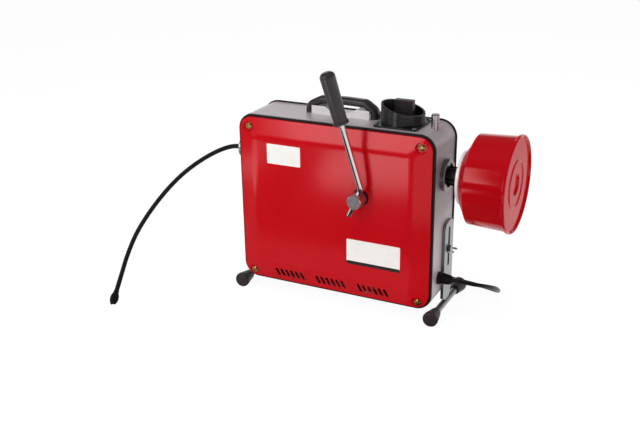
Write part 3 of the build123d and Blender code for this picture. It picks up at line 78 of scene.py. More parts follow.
# Cable's mesh: steps from point to point, sides, ridges in metres, and hollows as a share of the wire
CABLE_STEPS = 130
CABLE_SIDES = 14
RIDGE_PROUD = 0.0004
HOLLOW_SHARE = 0.28

# Barrel head wound on the cable's end, in millimetres
HEAD_FOOT = Vector((-368.7, -205.1, 17.4))
HEAD_RUN = Vector((0.30, -0.83, -0.469)).normalized()
HEAD_TURNS = 8
HEAD_LENGTH = 23.0
HEAD_R = 8.0
HEAD_TAPER = 3.0
HEAD_WIRE = 2.0
HEAD_FIRST = 5.3

# Coil of the put-away lead, in millimetres: layers spiral in and out and climb in half a turn
LEAD_D = 7.0
BODY_GAP = 0.3
TIE_THICK = 1.5
COIL_CENTRE = (0.0, 185.0)
COIL_MID_R = 38.5
COIL_PITCH = 7.8
COIL_LAYERS = 4
COIL_TURNS = 2.0
COIL_LOW = TIE_THICK + BODY_GAP + LEAD_D / 2
COIL_POINTS = 24
COIL_RATE = COIL_PITCH / (2 * math.pi)
LAYER_ANGLE = 2 * math.pi * COIL_TURNS
CLIMB = math.pi
COIL_ALL_TURNS = COIL_LAYERS * COIL_TURNS + (COIL_LAYERS - 1) * 0.5

# Small turn, in radians, that finds the coil's direction at its ends
COIL_NUDGE = 1e-4

# Strap round the coil: its place in degrees, and its section as outward and across, in millimetres
TIE_ANGLE = 150.0
TIE_CORNER = 3.0
TIE_SECTION = ((0.2, -4.3), (0.2, 4.3), (0.7, 4.5), (1.3, 4.3), (1.3, -4.3), (0.7, -4.5))

# Way of the mains lead, in millimetres: to the coil, straight in and out of it, and down to the level plug
LEAD_ROUTE = [
    (212, -14.5, 73), (230, -14.5, 73), (248, -10, 70.5), (261.5, 2, 65.5), (269.5, 20, 57),
    (272, 41, 46), (270.5, 61, 34.5), (267, 80, 23), (261, 96.5, 13.5), (251, 110, 8),
    (236.5, 119, COIL_LOW), (217, 123, COIL_LOW), (196, 125.5, COIL_LOW), (173, 129, COIL_LOW),
    (145, 133.5, COIL_LOW), (113, 138, COIL_LOW), (80, 141, COIL_LOW), (46, 141.5, COIL_LOW)]
COIL_LEAD_IN = 20.0
COIL_LEAD_OUT = 16.0
DROP_X = 36.0
DROP = 4.6
PLUG_ASIDE = 0.6
PLUG_END = 74.0
PLUG_LEVEL = 17.0
PLUG_Z = 17.4

# Plug, in metres: profiles as along and radius, with a ribbed sleeve that widens towards the body
PLUG_MOUTH = (0, 0.0036)
SLEEVE_RIBS = 5
SLEEVE_PITCH = 0.0024
SLEEVE_GROWTH = 0.0004
SLEEVE_SECTION = ((0, 0.0052), (0.0014, 0.0052), (0.0016, 0.0044), (0.0022, 0.0044))
PLUG_PROFILE = [
    (0.0125, 0.0085), (0.0145, 0.0122), (0.017, 0.0131), (0.022, 0.0129), (0.028, 0.0138), (0.0318, 0.0162),
    (0.0335, 0.0169), (0.0408, 0.0169), (0.0416, 0.0162), (0.042, 0.0145), (0.042, 0.001)]
PIN_ROOT = 0.041
PIN_SPREAD = 0.0095
PIN_SLEEVE_PROFILE = [(0, 0.0024), (0.0098, 0.0024), (0.01, 0.0022), (0.01, 0.001)]
PIN_PROFILE = [
    (0.009, 0.001), (0.009, 0.00215), (0.0175, 0.00215), (0.0192, 0.0016), (0.0199, 0.0008), (0.02, 0.0002)]
PIN_SIDES = 24

# Ribs round the switch's cup, in metres: its radius, their heights above its foot, and their section
GUARD_R = 0.037
GUARD_SIDES = 96
RIB_HEIGHTS = (0.0062, 0.0102, 0.0142, 0.0178)
RIB_SECTION = ((-0.0009, -0.0001), (-0.0005, 0.0004), (0, 0.00055), (0.0005, 0.0004), (0.0009, -0.0001))
RIB_MARGIN = 0.0012
RIB_SUNK = 0.0004

# Spring under the lock pin: its turns
SPRING_TURNS = 6

# Blank plates: left, right, low and high, in millimetres
SMALL_PLATE = (-122.5, -57.0, 254.5, 290.5)
RATING_PLATE = (31.0, 131.0, 91.0, 137.5)
RATING_FOOT = (31.0, 131.0, 91.0, 97.0)

# Plate's bevel: how much narrower the face is, in millimetres, and where it starts, as a share of thickness
PLATE_BEVEL = 0.15
PLATE_EDGE = 0.8

# Photograph's camera: place and reach in metres, angles in degrees, lens and sensor in millimetres
CAMERA_PLACE = (0.6035, -1.37223, 0.7538)
CAMERA_YAW = 26.99
CAMERA_PITCH = 21.66
CAMERA_ROLL = -0.84
CAMERA_LENS = 51.35
CAMERA_SENSOR = 36.0
CAMERA_REACH = 50.0

# White paper floor: half its width in metres, its tone, its glow, and the glow's share where it is seen
FLOOR_HALF = 9.0
PAPER_TONE = 0.92
FLOOR_GLOW = 1.05
GLOW_SHARE = 0.88

# Studio air: its level on the part, the direction's Z where backdrop turns to ceiling, and their tones
AIR_LEVEL = 0.45
BACKDROP_LOW, BACKDROP_HIGH = 0.1, 0.4
BACKDROP_TONE, CEILING_TONE = 1.0, 0.1

# Cloths: left, front, right and back in metres, and tone as a share of white
CLOTHS = [
    (-2.5, -3.5, 0.1, -0.29, 0.025), (0.08, -0.5, 0.6, 0.0, 0.06), (0.36, 0.15, 1.4, 1.8, 0.66),
    (-1.6, -0.29, 0.08, -0.03, 0.4)]

# Cloths' height over the floor in metres, threads across each, and the flag behind the camera
CLOTH_LIFT = 0.001
CLOTH_THREADS = 400.0
FLAG_CORNERS = [(-2.0, -2.5, 0.0), (1.9, -1.7, 0.0), (1.9, -1.7, 1.7), (-2.0, -2.5, 1.7)]
FLAG_TONE = 0.025

# Lamps: name, spot and target in metres, width, height, lean in degrees, watts, and whether gloss shows them
LAMPS = (
    ("overhead_box", (-0.1, -0.3, 2.0), (0, 0, 0.15), 1.2, 1.2, 0, 16.0, False),
    ("left_box", (-0.84, -1.68, 1.2), (0, 0, 1.2), 0.6, 1.4, 12, 13.0, True),
    ("back_box", (-1.0, 1.3, 0.8), (0, 0, 0.25), 1.0, 0.9, 0, 2.2, True),
    ("floor_card", (-0.37, -1.1, 0.01), (-0.37, -1.1, 2), 0.28, 0.96, 18, 3.6, True),
    ("side_card", (-0.75, -0.6, 0.01), (-0.75, -0.6, 2), 0.3, 0.5, 0, 1.2, True),
    ("low_strip", (-0.03, -0.19, 0.02), (-0.03, 0, 0.03), 0.44, 0.03, 0, 0.06, False),
    ("right_box", (1.4, 0.3, 0.22), (0.13, 0, 0.15), 0.6, 0.4, 0, 8.0, False),
)


def hex_linear(code):
    """Linear colour of an sRGB hex value"""
    parts = [int(code[i:i + 2], 16) / 255 for i in (1, 3, 5)]
    return tuple(c / 12.92 if c <= 0.04045 else ((c + 0.055) / 1.055) ** 2.4 for c in parts)


def colour(label, code, description):
    """Colour setting, given as an sRGB hex value"""
    return FloatVectorProperty(name=label, description=description, subtype="COLOR", size=3, min=0, max=1,
                               default=hex_linear(code))


def length(label, metres, description):
    """Length setting"""
    return FloatProperty(name=label, description=description, default=metres, min=0, unit="LENGTH",
                         precision=4)


class DrainColours(bpy.types.PropertyGroup):
    """Colours of the finishes"""
    enamel: colour("Red enamel", "#BE0613", "Baked enamel of the covers and the drum")
    silver: colour("Silver paint", "#AAA1A5", "Metallic paint of the case band")
    rubber: colour("Rubber", "#1C1516", "Gaskets, belt and plug")
    grip: colour("Grips", "#2A2325", "Soft vinyl of the lever grip and the carry handle")
    moulding: colour("Moulding", "#130F11", "Switch cup, drum hub and gland")
    cable: colour("Drain cable", "#241D1E", "Oiled spring steel cable")
    lead: colour("Lead jacket", "#141112", "Rubber jacket of the mains lead")
    plate: colour("Blank plates", "#F2F0EC", "Face of the two blank plates")


class DrainSizes(bpy.types.PropertyGroup):
    """Sizes of the drawn pieces"""
    cable_diameter: length("Cable diameter", 0.008, "Outside diameter of the drain cable")
    cable_wire: length("Cable wire", 0.0022, "Wire that the drain cable is wound from")
    spring_wire: length("Spring wire", 0.0014, "Wire of the spring under the lock pin")
    lead_diameter: length("Lead diameter", 0.007, "Outside diameter of the mains lead")
    plate_thickness: length("Plate thickness", 0.0003, "Thickness of the blank plates")
    plate_corner: length("Plate corner", 0.002, "Corner radius of the blank plates")


def case_point(x, y, z):
    """Frame point, in metres, of a point measured in millimetres from the case's middle and the floor"""
    return Vector((x / 1000 + CASE_X, y / 1000 + CASE_Y, z / 1000))


def add(tree, kind, inputs=None, **settings):
    """Adds a node; an input given as a socket is linked, any other is set"""
    made = tree.nodes.new(kind)
    for key, value in settings.items():
        setattr(made, key, value)
    for key, value in (inputs or {}).items():
        if isinstance(value, bpy.types.NodeSocket):
            tree.links.new(value, made.inputs[key])
        else:
            made.inputs[key].default_value = value
    return made


def new_material(name):
    """Empty material and its node tree"""
    made = bpy.data.materials.new(name)
    made.use_nodes = True
    made.node_tree.nodes.clear()
    return made, made.node_tree


def finished(made, tree, shader):
    """Material with its shader joined to the output"""
    add(tree, "ShaderNodeOutputMaterial", {"Surface": shader.outputs[0]})
    return made


def toned(tone, share):
    """Colour made darker or lighter by a share, with full cover"""
    return (*(min(c * share, 1) for c in tone), 1)


def red_enamel(name, roughness, wave_mm, depth=1.0):
    """Stoved red enamel on sheet steel: deep gloss, a faint orange peel, and slow waves in its reflections"""
    made, tree = new_material(name)
    place = add(tree, "ShaderNodeTexCoord").outputs["Object"]
    # A depth below 1 makes a darker copy of the same enamel: painted shade on the drum and its lid
    red = [c * depth for c in bpy.context.scene.drain_colours.enamel]
    # Clouds of colour are about 110 mm across, orange peel 1.5 mm, the press's waves 90 mm
    cloud = add(tree, "ShaderNodeTexNoise", {"Vector": place, "Scale": 1 / 0.11, "Detail": 2.0})
    peel = add(tree, "ShaderNodeTexNoise", {"Vector": place, "Scale": 1 / 0.0015, "Detail": 1.0})
    wave = add(tree, "ShaderNodeTexNoise", {"Vector": place, "Scale": 1 / 0.09, "Detail": 0.0})
    shade = add(tree, "ShaderNodeValToRGB", {"Fac": cloud.outputs["Fac"]})
    shade.color_ramp.elements[0].color = (red[0] * 0.94, red[1] * 0.9, red[2] * 0.9, 1)
    shade.color_ramp.elements[1].color = (min(red[0] * 1.06, 1), red[1] * 1.1, red[2] * 1.1, 1)
    fine = add(tree, "ShaderNodeBump", {
        "Height": peel.outputs["Fac"], "Strength": 0.25, "Distance": 0.00006})
    slow = add(tree, "ShaderNodeBump", {
        "Height": wave.outputs["Fac"], "Strength": 0.5, "Distance": wave_mm / 1000,
        "Normal": fine.outputs["Normal"]})
    rough = add(tree, "ShaderNodeMapRange", {
        "Value": cloud.outputs["Fac"], "To Min": roughness - 0.03, "To Max": roughness + 0.03})
    shader = add(tree, "ShaderNodeBsdfPrincipled", {
        "Base Color": shade.outputs["Color"], "Roughness": rough.outputs["Result"], "IOR": 1.45,
        "Specular Tint": (*hex_linear("#FFC8CC"), 1), "Normal": slow.outputs["Normal"]})
    return finished(made, tree, shader)


def silver_paint(name):
    """Sprayed silver paint on sheet steel: satin grey, with flakes that sparkle a little and a soft mottle"""
    made, tree = new_material(name)
    place = add(tree, "ShaderNodeTexCoord").outputs["Object"]
    grey = bpy.context.scene.drain_colours.silver
    # Flakes are far finer than a pixel, so they are drawn 0.6 mm across; the mottle is about 30 mm
    flake = add(tree, "ShaderNodeTexVoronoi", {"Vector": place, "Scale": 1 / 0.0006}).outputs["Distance"]
    cloud = add(tree, "ShaderNodeTexNoise", {"Vector": place, "Scale": 1 / 0.03, "Detail": 3.0})
    mixed = add(tree, "ShaderNodeMath", {0: flake, 1: cloud.outputs["Fac"]}, operation="ADD")
    shade = add(tree, "ShaderNodeValToRGB", {"Fac": mixed.outputs[0]})
    shade.color_ramp.elements[0].color = toned(grey, 0.88)
    shade.color_ramp.elements[1].color = toned(grey, 1.08)
    bump = add(tree, "ShaderNodeBump", {"Height": flake, "Strength": 0.15, "Distance": 0.00004})
    shader = add(tree, "ShaderNodeBsdfPrincipled", {
        "Base Color": shade.outputs["Color"], "Metallic": 0.35, "Roughness": 0.42,
        "Normal": bump.outputs["Normal"]})
    return finished(made, tree, shader)


def black_grain(name, dark, grain_mm, roughness, depth, gloss=0.22):
    """Moulded black rubber or plastic: fine grain that breaks the highlight, with handling marks"""
    made, tree = new_material(name)
    place = add(tree, "ShaderNodeTexCoord").outputs["Object"]
    # Handling marks are about 20 mm across
    cloud = add(tree, "ShaderNodeTexNoise", {"Vector": place, "Scale": 1 / 0.02, "Detail": 3.0})
    grain = add(tree, "ShaderNodeTexNoise", {"Vector": place, "Scale": 1000 / grain_mm, "Detail": 2.0})
    shade = add(tree, "ShaderNodeValToRGB", {"Fac": cloud.outputs["Fac"]})
    shade.color_ramp.elements[0].color = toned(dark, 0.75)
    shade.color_ramp.elements[1].color = toned(dark, 1.4)
    bump = add(tree, "ShaderNodeBump", {"Height": grain.outputs["Fac"], "Strength": 0.5, "Distance": depth})
    rough = add(tree, "ShaderNodeMapRange", {
        "Value": cloud.outputs["Fac"], "To Min": roughness - 0.06, "To Max": roughness + 0.08})
    shader = add(tree, "ShaderNodeBsdfPrincipled", {
        "Base Color": shade.outputs["Color"], "Roughness": rough.outputs["Result"], "IOR": 1.5,
        "Specular IOR Level": gloss, "Normal": bump.outputs["Normal"]})
    return finished(made, tree, shader)


def plated(name, code, roughness, patch_mm, spread, bump_mm, metallic=1.0):
    """Plated steel: bright metal whose gloss varies in small patches where the plating took differently"""
    made, tree = new_material(name)
    place = add(tree, "ShaderNodeTexCoord").outputs["Object"]
    metal = hex_linear(code)
    patch = add(tree, "ShaderNodeTexNoise", {"Vector": place, "Scale": 1000 / patch_mm, "Detail": 3.0})
    shade = add(tree, "ShaderNodeValToRGB", {"Fac": patch.outputs["Fac"]})
    shade.color_ramp.elements[0].color = toned(metal, 0.86)
    shade.color_ramp.elements[1].color = toned(metal, 1.08)
    rough = add(tree, "ShaderNodeMapRange", {
        "Value": patch.outputs["Fac"], "To Min": max(roughness - spread, 0.02), "To Max": roughness + spread})
    bump = add(tree, "ShaderNodeBump", {
        "Height": patch.outputs["Fac"], "Strength": 0.3, "Distance": bump_mm / 1000})
    shader = add(tree, "ShaderNodeBsdfPrincipled", {
        "Base Color": shade.outputs["Color"], "Metallic": metallic, "Roughness": rough.outputs["Result"],
        "Normal": bump.outputs["Normal"]})
    return finished(made, tree, shader)


def hub_casting(name):
    """Tumbled zinc casting: pitted grey face painted darker and the rim round it painted bright, by the way
    each surface faces: painted shade and painted highlight
    """
    made, tree = new_material(name)
    place = add(tree, "ShaderNodeTexCoord").outputs
    # Surfaces facing along Y get a darker grey, all others the brightest colour: painted shade on the face
    # and a painted highlight on the rim
    way = add(tree, "ShaderNodeSeparateXYZ", {"Vector": place["Normal"]})
    turned = add(tree, "ShaderNodeMath", {0: way.outputs["Y"]}, operation="ABSOLUTE")
    face = add(tree, "ShaderNodeMapRange", {"Value": turned.outputs[0], "From Min": 0.9, "From Max": 0.98})
    # Pits are about 1.2 mm across
    pits = add(tree, "ShaderNodeTexNoise", {"Vector": place["Object"], "Scale": 1 / 0.0012, "Detail": 3.0})
    depth = add(tree, "ShaderNodeMapRange", {
        "Value": pits.outputs["Fac"], "From Min": 0.3, "From Max": 0.7, "To Min": 0.3, "To Max": 1.0})
    tone = add(tree, "ShaderNodeMath", {0: face.outputs["Result"], 1: depth.outputs["Result"]},
               operation="MULTIPLY")
    shade = add(tree, "ShaderNodeValToRGB", {"Fac": tone.outputs[0]})
    shade.color_ramp.elements[0].color = (*hex_linear("#DAD7D8"), 1)
    shade.color_ramp.elements[1].color = (*hex_linear("#BAB4B7"), 1)
    shade.color_ramp.elements.new(0.3).color = (*hex_linear("#666063"), 1)
    rough = add(tree, "ShaderNodeMapRange", {"Value": face.outputs["Result"], "To Min": 0.36, "To Max": 0.5})
    bump = add(tree, "ShaderNodeBump", {"Height": pits.outputs["Fac"], "Strength": 0.4, "Distance": 0.0001})
    shader = add(tree, "ShaderNodeBsdfPrincipled", {
        "Base Color": shade.outputs["Color"], "Metallic": 1.0, "Roughness": rough.outputs["Result"],
        "Normal": bump.outputs["Normal"]})
    return finished(made, tree, shader)


def turned_alloy(name):
    """Turned aluminium alloy: rings left by the tool round the spindle line, which streak the highlights"""
    made, tree = new_material(name)
    place = add(tree, "ShaderNodeTexCoord").outputs["Object"]
    # The tool's feed is about 0.2 mm, drawn 0.6 mm wide so that it shows: bands repeat at 0.314 of 2 mm
    # Clouds are about 12 mm across
    rings = add(tree, "ShaderNodeTexWave", {
        "Vector": place, "Scale": 1 / 0.002, "Distortion": 0.6, "Detail": 1.0},
        wave_type="BANDS", bands_direction="X")
    cloud = add(tree, "ShaderNodeTexNoise", {"Vector": place, "Scale": 1 / 0.012, "Detail": 2.0})
    shade = add(tree, "ShaderNodeValToRGB", {"Fac": cloud.outputs["Fac"]})
    shade.color_ramp.elements[0].color = (*hex_linear("#A9A6A8"), 1)
    shade.color_ramp.elements[1].color = (*hex_linear("#D2D0D1"), 1)
    bump = add(tree, "ShaderNodeBump", {
        "Height": rings.outputs["Fac"], "Strength": 0.25, "Distance": 0.00008})
    shader = add(tree, "ShaderNodeBsdfPrincipled", {
        "Base Color": shade.outputs["Color"], "Metallic": 1.0, "Roughness": 0.27,
        "Normal": bump.outputs["Normal"]})
    return finished(made, tree, shader)


def spring_steel(name):
    """Oiled dark spring steel: nearly black wire with a dull metal gleam and brown oil in patches"""
    made, tree = new_material(name)
    place = add(tree, "ShaderNodeTexCoord").outputs["Object"]
    dark = bpy.context.scene.drain_colours.cable
    # Patches of oil are about 9 mm across
    oil = add(tree, "ShaderNodeTexNoise", {"Vector": place, "Scale": 1 / 0.009, "Detail": 3.0})
    shade = add(tree, "ShaderNodeValToRGB", {"Fac": oil.outputs["Fac"]})
    shade.color_ramp.elements[0].color = toned(dark, 0.7)
    shade.color_ramp.elements[1].color = toned(dark, 1.5)
    rough = add(tree, "ShaderNodeMapRange", {"Value": oil.outputs["Fac"], "To Min": 0.38, "To Max": 0.55})
    shader = add(tree, "ShaderNodeBsdfPrincipled", {
        "Base Color": shade.outputs["Color"], "Metallic": 0.6, "Roughness": rough.outputs["Result"]})
    return finished(made, tree, shader)


def shade_dark_casting(name):
    """Casting made near black so that it shows black behind the slots, a painted shade: dull, with the
    pimpled skin that sand leaves
    """
    made, tree = new_material(name)
    place = add(tree, "ShaderNodeTexCoord").outputs["Object"]
    # Pimples are about 1.5 mm across
    sand = add(tree, "ShaderNodeTexNoise", {"Vector": place, "Scale": 1 / 0.0015, "Detail": 3.0})
    # Near black so that the parts show black through the slots: painted shade
    shade = add(tree, "ShaderNodeValToRGB", {"Fac": sand.outputs["Fac"]})
    shade.color_ramp.elements[0].color = (*hex_linear("#1E1F20"), 1)
    shade.color_ramp.elements[1].color = (*hex_linear("#2F3032"), 1)
    bump = add(tree, "ShaderNodeBump", {"Height": sand.outputs["Fac"], "Strength": 0.5, "Distance": 0.0003})
    shader = add(tree, "ShaderNodeBsdfPrincipled", {
        "Base Color": shade.outputs["Color"], "Roughness": 0.5, "Normal": bump.outputs["Normal"]})
    return finished(made, tree, shader)


def strap_weave(name):
    """Woven polyamide strap: dull black, with a fine check of threads"""
    made, tree = new_material(name)
    place = add(tree, "ShaderNodeTexCoord").outputs["Object"]
    # Threads are about 1.5 mm wide
    weave = add(tree, "ShaderNodeTexChecker", {"Vector": place, "Scale": 1 / 0.0015})
    shade = add(tree, "ShaderNodeValToRGB", {"Fac": weave.outputs["Fac"]})
    shade.color_ramp.elements[0].color = (*hex_linear("#141314"), 1)
    shade.color_ramp.elements[1].color = (*hex_linear("#2A292A"), 1)
    bump = add(tree, "ShaderNodeBump", {"Height": weave.outputs["Fac"], "Strength": 0.6, "Distance": 0.0002})
    shader = add(tree, "ShaderNodeBsdfPrincipled", {
        "Base Color": shade.outputs["Color"], "Roughness": 0.75, "Sheen Weight": 0.2,
        "Normal": bump.outputs["Normal"]})
    return finished(made, tree, shader)


def vinyl_plate(name, ink):
    """Blank self-adhesive vinyl: smooth, half gloss, with small lifts where it was rubbed down"""
    made, tree = new_material(name)
    place = add(tree, "ShaderNodeTexCoord").outputs["Object"]
    # Lifts are about 8 mm across
    lift = add(tree, "ShaderNodeTexNoise", {"Vector": place, "Scale": 1 / 0.008, "Detail": 2.0})
    shade = add(tree, "ShaderNodeValToRGB", {"Fac": lift.outputs["Fac"]})
    shade.color_ramp.elements[0].color = toned(ink, 0.95)
    shade.color_ramp.elements[1].color = toned(ink, 1.03)
    bump = add(tree, "ShaderNodeBump", {"Height": lift.outputs["Fac"], "Strength": 0.2, "Distance": 0.0001})
    shader = add(tree, "ShaderNodeBsdfPrincipled", {
        "Base Color": shade.outputs["Color"], "Roughness": 0.3, "IOR": 1.45,
        "Normal": bump.outputs["Normal"]})
    return finished(made, tree, shader)


def finish(maker, name, *values):
    """A finish by name, made once"""
    return bpy.data.materials.get(name) or maker(name, *values)


def rubber():
    """Gaskets, belt and plug: dull black with a fine moulded grain"""
    dark = bpy.context.scene.drain_colours.rubber
    return finish(black_grain, "moulded_black_rubber", dark, 0.5, 0.5, 0.00008)


def foot_rubber():
    """Foot caps: greyer black, scuffed by floors"""
    return finish(black_grain, "scuffed_black_rubber", hex_linear("#30282A"), 0.8, 0.46, 0.0001, 0.3)


def soft_grip():
    """Grips: soft dark vinyl with a broad, gentle highlight"""
    dark = bpy.context.scene.drain_colours.grip
    return finish(black_grain, "dipped_black_vinyl", dark, 1.2, 0.34, 0.00012, 0.5)


def moulding():
    """Small mouldings: deep black with little gloss"""
    dark = bpy.context.scene.drain_colours.moulding
    return finish(black_grain, "moulded_black_abs", dark, 0.7, 0.34, 0.00005)


def glossy_moulding():
    """Switch cup: deep black with clear highlights along its ribs"""
    dark = bpy.context.scene.drain_colours.moulding
    return finish(black_grain, "glossy_black_abs", dark, 0.7, 0.3, 0.00003, 0.5)


def lightened_moulding():
    """Switch knob: the black plastic made greyer, a painted light on its lit face"""
    # Greyer than the other black mouldings: painted light on the knob
    return finish(black_grain, "worn_black_abs", hex_linear("#2E2729"), 0.7, 0.4, 0.00005, 0.4)


def jacket():
    """Mains lead: smooth black rubber with a thin streak of light"""
    dark = bpy.context.scene.drain_colours.lead
    return finish(black_grain, "extruded_rubber_jacket", dark, 0.4, 0.36, 0.00004)


def chrome():
    """Lever rod: almost a mirror, with a slight change of gloss along it"""
    return finish(plated, "polished_chrome_plate", "#D8D5D6", 0.1, 30.0, 0.04, 0.05)


def cast_zinc():
    """Lever hub: pitted grey casting"""
    return finish(hub_casting, "tumbled_zinc_casting")


def ground_steel():
    """Lock pin: clean satin steel"""
    return finish(plated, "ground_steel_pin", "#C4C0C2", 0.3, 5.0, 0.03, 0.005)


def satin_steel():
    """Rear collar: darker satin steel"""
    return finish(plated, "satin_turned_steel", "#9B9697", 0.3, 4.0, 0.08, 0.03)


def zinc():
    """Legs, bolts and drive parts: grey zinc with a patchy gloss"""
    return finish(plated, "bright_zinc_plate", "#9F9DA1", 0.32, 4.0, 0.08, 0.03)


def satin_alloy():
    """Handle tray and drum ring: pale, even satin sheet"""
    return finish(plated, "satin_aluminium_sheet", "#F1EFF0", 0.34, 6.0, 0.06, 0.02, 0.25)


def yellow_zinc():
    """Cover screws: brassy yellow"""
    return finish(plated, "yellow_passivated_zinc", "#C7A862", 0.3, 3.0, 0.08, 0.03)


def alloy():
    """Nose collar, pulleys and capacitor: bright turned metal"""
    return finish(turned_alloy, "turned_aluminium_alloy")


def enamel():
    """Covers: glossy red with soft reflections"""
    return finish(red_enamel, "red_enamel_on_pressed_steel", 0.16, 1.2)


def drum_enamel():
    """Drum shell: the covers' red made darker as painted shade, with clearer, wavy reflections"""
    return finish(red_enamel, "red_enamel_on_spun_steel", 0.1, 1.6, 0.8)


def lid_enamel():
    """Drum lid: the covers' red made a little darker as painted shade, with the clearest reflections"""
    return finish(red_enamel, "red_enamel_on_lid_sheet", 0.06, 1.6, 0.85)


def steel_wire():
    """Drain cable and its head: oiled black wire"""
    return finish(spring_steel, "oiled_spring_steel")


def paint(material, *nodes):
    """Puts a finish on CAD nodes"""
    for name in nodes:
        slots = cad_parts[name].data.materials
        slots.clear()
        slots.append(material)


def new_mesh(name, verts, faces, material, smooth_angle=35.0):
    """Object of a mesh, smooth but for edges sharper than an angle in degrees"""
    mesh = bpy.data.meshes.new(name)
    mesh.from_pydata(verts, [], faces)
    mesh.update()
    mesh.shade_smooth()
    mesh.set_sharp_from_angle(angle=math.radians(smooth_angle))
    mesh.materials.append(material)
    piece = bpy.data.objects.new(name, mesh)
    bpy.context.scene.collection.objects.link(piece)
    return piece


def ring_faces(rings, sides, closed=False):
    """Faces that join rings of points one to the next, and the last to the first if closed"""
    faces = []
    for ring in range(rings if closed else rings - 1):
        first = ring * sides
        second = (ring + 1) % rings * sides
        for side in range(sides):
            beside = (side + 1) % sides
            faces.append((first + side, first + beside, second + beside, second + side))
    return faces


def end_faces(rings, sides):
    """Faces that close the first and the last ring"""
    return [tuple(reversed(range(sides))), tuple(range((rings - 1) * sides, rings * sides))]


def rounded_outline(left, right, low, high, corner):
    """Points round a rectangle with round corners"""
    middles = ((right - corner, high - corner), (left + corner, high - corner),
               (left + corner, low + corner), (right - corner, low + corner))
    points = []
    for quarter, (x, z) in enumerate(middles):
        for step in range(CORNER_STEPS + 1):
            angle = math.radians(90 * quarter + 90 / CORNER_STEPS * step)
            points.append((x + corner * math.cos(angle), z + corner * math.sin(angle)))
    return points


def route_curve(name, points, radius, resolution):
    """Smooth line through a route's control points; a radius of 0 leaves it bare"""
    data = bpy.data.curves.new(name, "CURVE")
    data.dimensions = "3D"
    data.resolution_u = resolution
    data.bevel_depth = radius
    data.bevel_resolution = 5
    data.use_fill_caps = radius > 0
    line = data.splines.new("NURBS")
    line.points.add(len(points) - 1)
    for spot, point in zip(line.points, points):
        spot.co = (*point, 1)
    line.order_u = 3
    line.use_endpoint_u = True
    piece = bpy.data.objects.new(name, data)
    bpy.context.scene.collection.objects.link(piece)
    return piece


def curve_mesh(curve):
    """Mesh of a curve, which is taken away"""
    bpy.context.view_layer.update()
    mesh = bpy.data.meshes.new_from_object(curve)
    bpy.data.objects.remove(curve)
    return mesh


def line_points(points, resolution):
    """Points along the smooth line of a route"""
    mesh = curve_mesh(route_curve("route_line", points, 0, resolution))
    found = [v.co.copy() for v in mesh.vertices]
    bpy.data.meshes.remove(mesh)
    return found


def turned_mesh(name, profile, foot, run, material, sides=48, ring=False):
    """Surface turned about a line; the profile is along and radius in metres, and a closed loop for a ring"""
    side = run.orthogonal().normalized()
    other = run.cross(side)
    verts = []
    for along, radius in profile:
        for step in range(sides):
            angle = 2 * math.pi * step / sides
            verts.append(foot + run * along + (side * math.cos(angle) + other * math.sin(angle)) * radius)
    faces = ring_faces(len(profile), sides, ring)
    if not ring:
        faces += end_faces(len(profile), sides)
    return new_mesh(name, verts, faces, material)


def wound_tube(name, line, radius, wire, sides, material):
    """Tube wound from wire along a line: a spiral of half-round ridges"""
    verts = []
    run = (line[1] - line[0]).normalized()
    side = run.orthogonal().normalized()
    travelled = 0.0
    for at, point in enumerate(line):
        ahead = line[min(at + 1, len(line) - 1)]
        behind = line[max(at - 1, 0)]
        turn = run.rotation_difference((ahead - behind).normalized())
        side = (turn @ side).normalized()
        run = (ahead - behind).normalized()
        other = run.cross(side)
        if at:
            travelled += (point - line[at - 1]).length
        for step in range(sides):
            share = step / sides
            phase = (travelled / wire - share) % 1.0 - 0.5
            dip = wire / 2 - math.sqrt(max((wire / 2) ** 2 - (phase * wire) ** 2, 0))
            reach = radius - min(dip, wire * HOLLOW_SHARE)
            angle = 2 * math.pi * share
            verts.append(point + (side * math.cos(angle) + other * math.sin(angle)) * reach)
    faces = ring_faces(len(line), sides) + end_faces(len(line), sides)
    return new_mesh(name, verts, faces, material, smooth_angle=80.0)


def coil_point(angle):
    """Point of the put-away coil, in millimetres, after turning by angle"""
    layer = min(max(int(angle // (LAYER_ANGLE + CLIMB)), 0), COIL_LAYERS - 1)
    turned = angle - layer * (LAYER_ANGLE + CLIMB)
    # Layers wind inward and outward by turns
    sign = -1 if layer % 2 == 0 else 1
    radius = COIL_MID_R + sign * COIL_RATE * (min(turned, LAYER_ANGLE) - LAYER_ANGLE / 2)
    height = COIL_LOW + COIL_PITCH * layer
    if turned > LAYER_ANGLE and layer < COIL_LAYERS - 1:
        climbed = turned - LAYER_ANGLE
        share = climbed / CLIMB
        radius += sign * COIL_RATE * (climbed - climbed * share)
        height += COIL_PITCH * (share - math.sin(2 * math.pi * share) / (2 * math.pi))
    around = -math.pi / 2 - angle
    x, y = COIL_CENTRE
    return Vector((x + radius * math.cos(around), y + radius * math.sin(around), height))


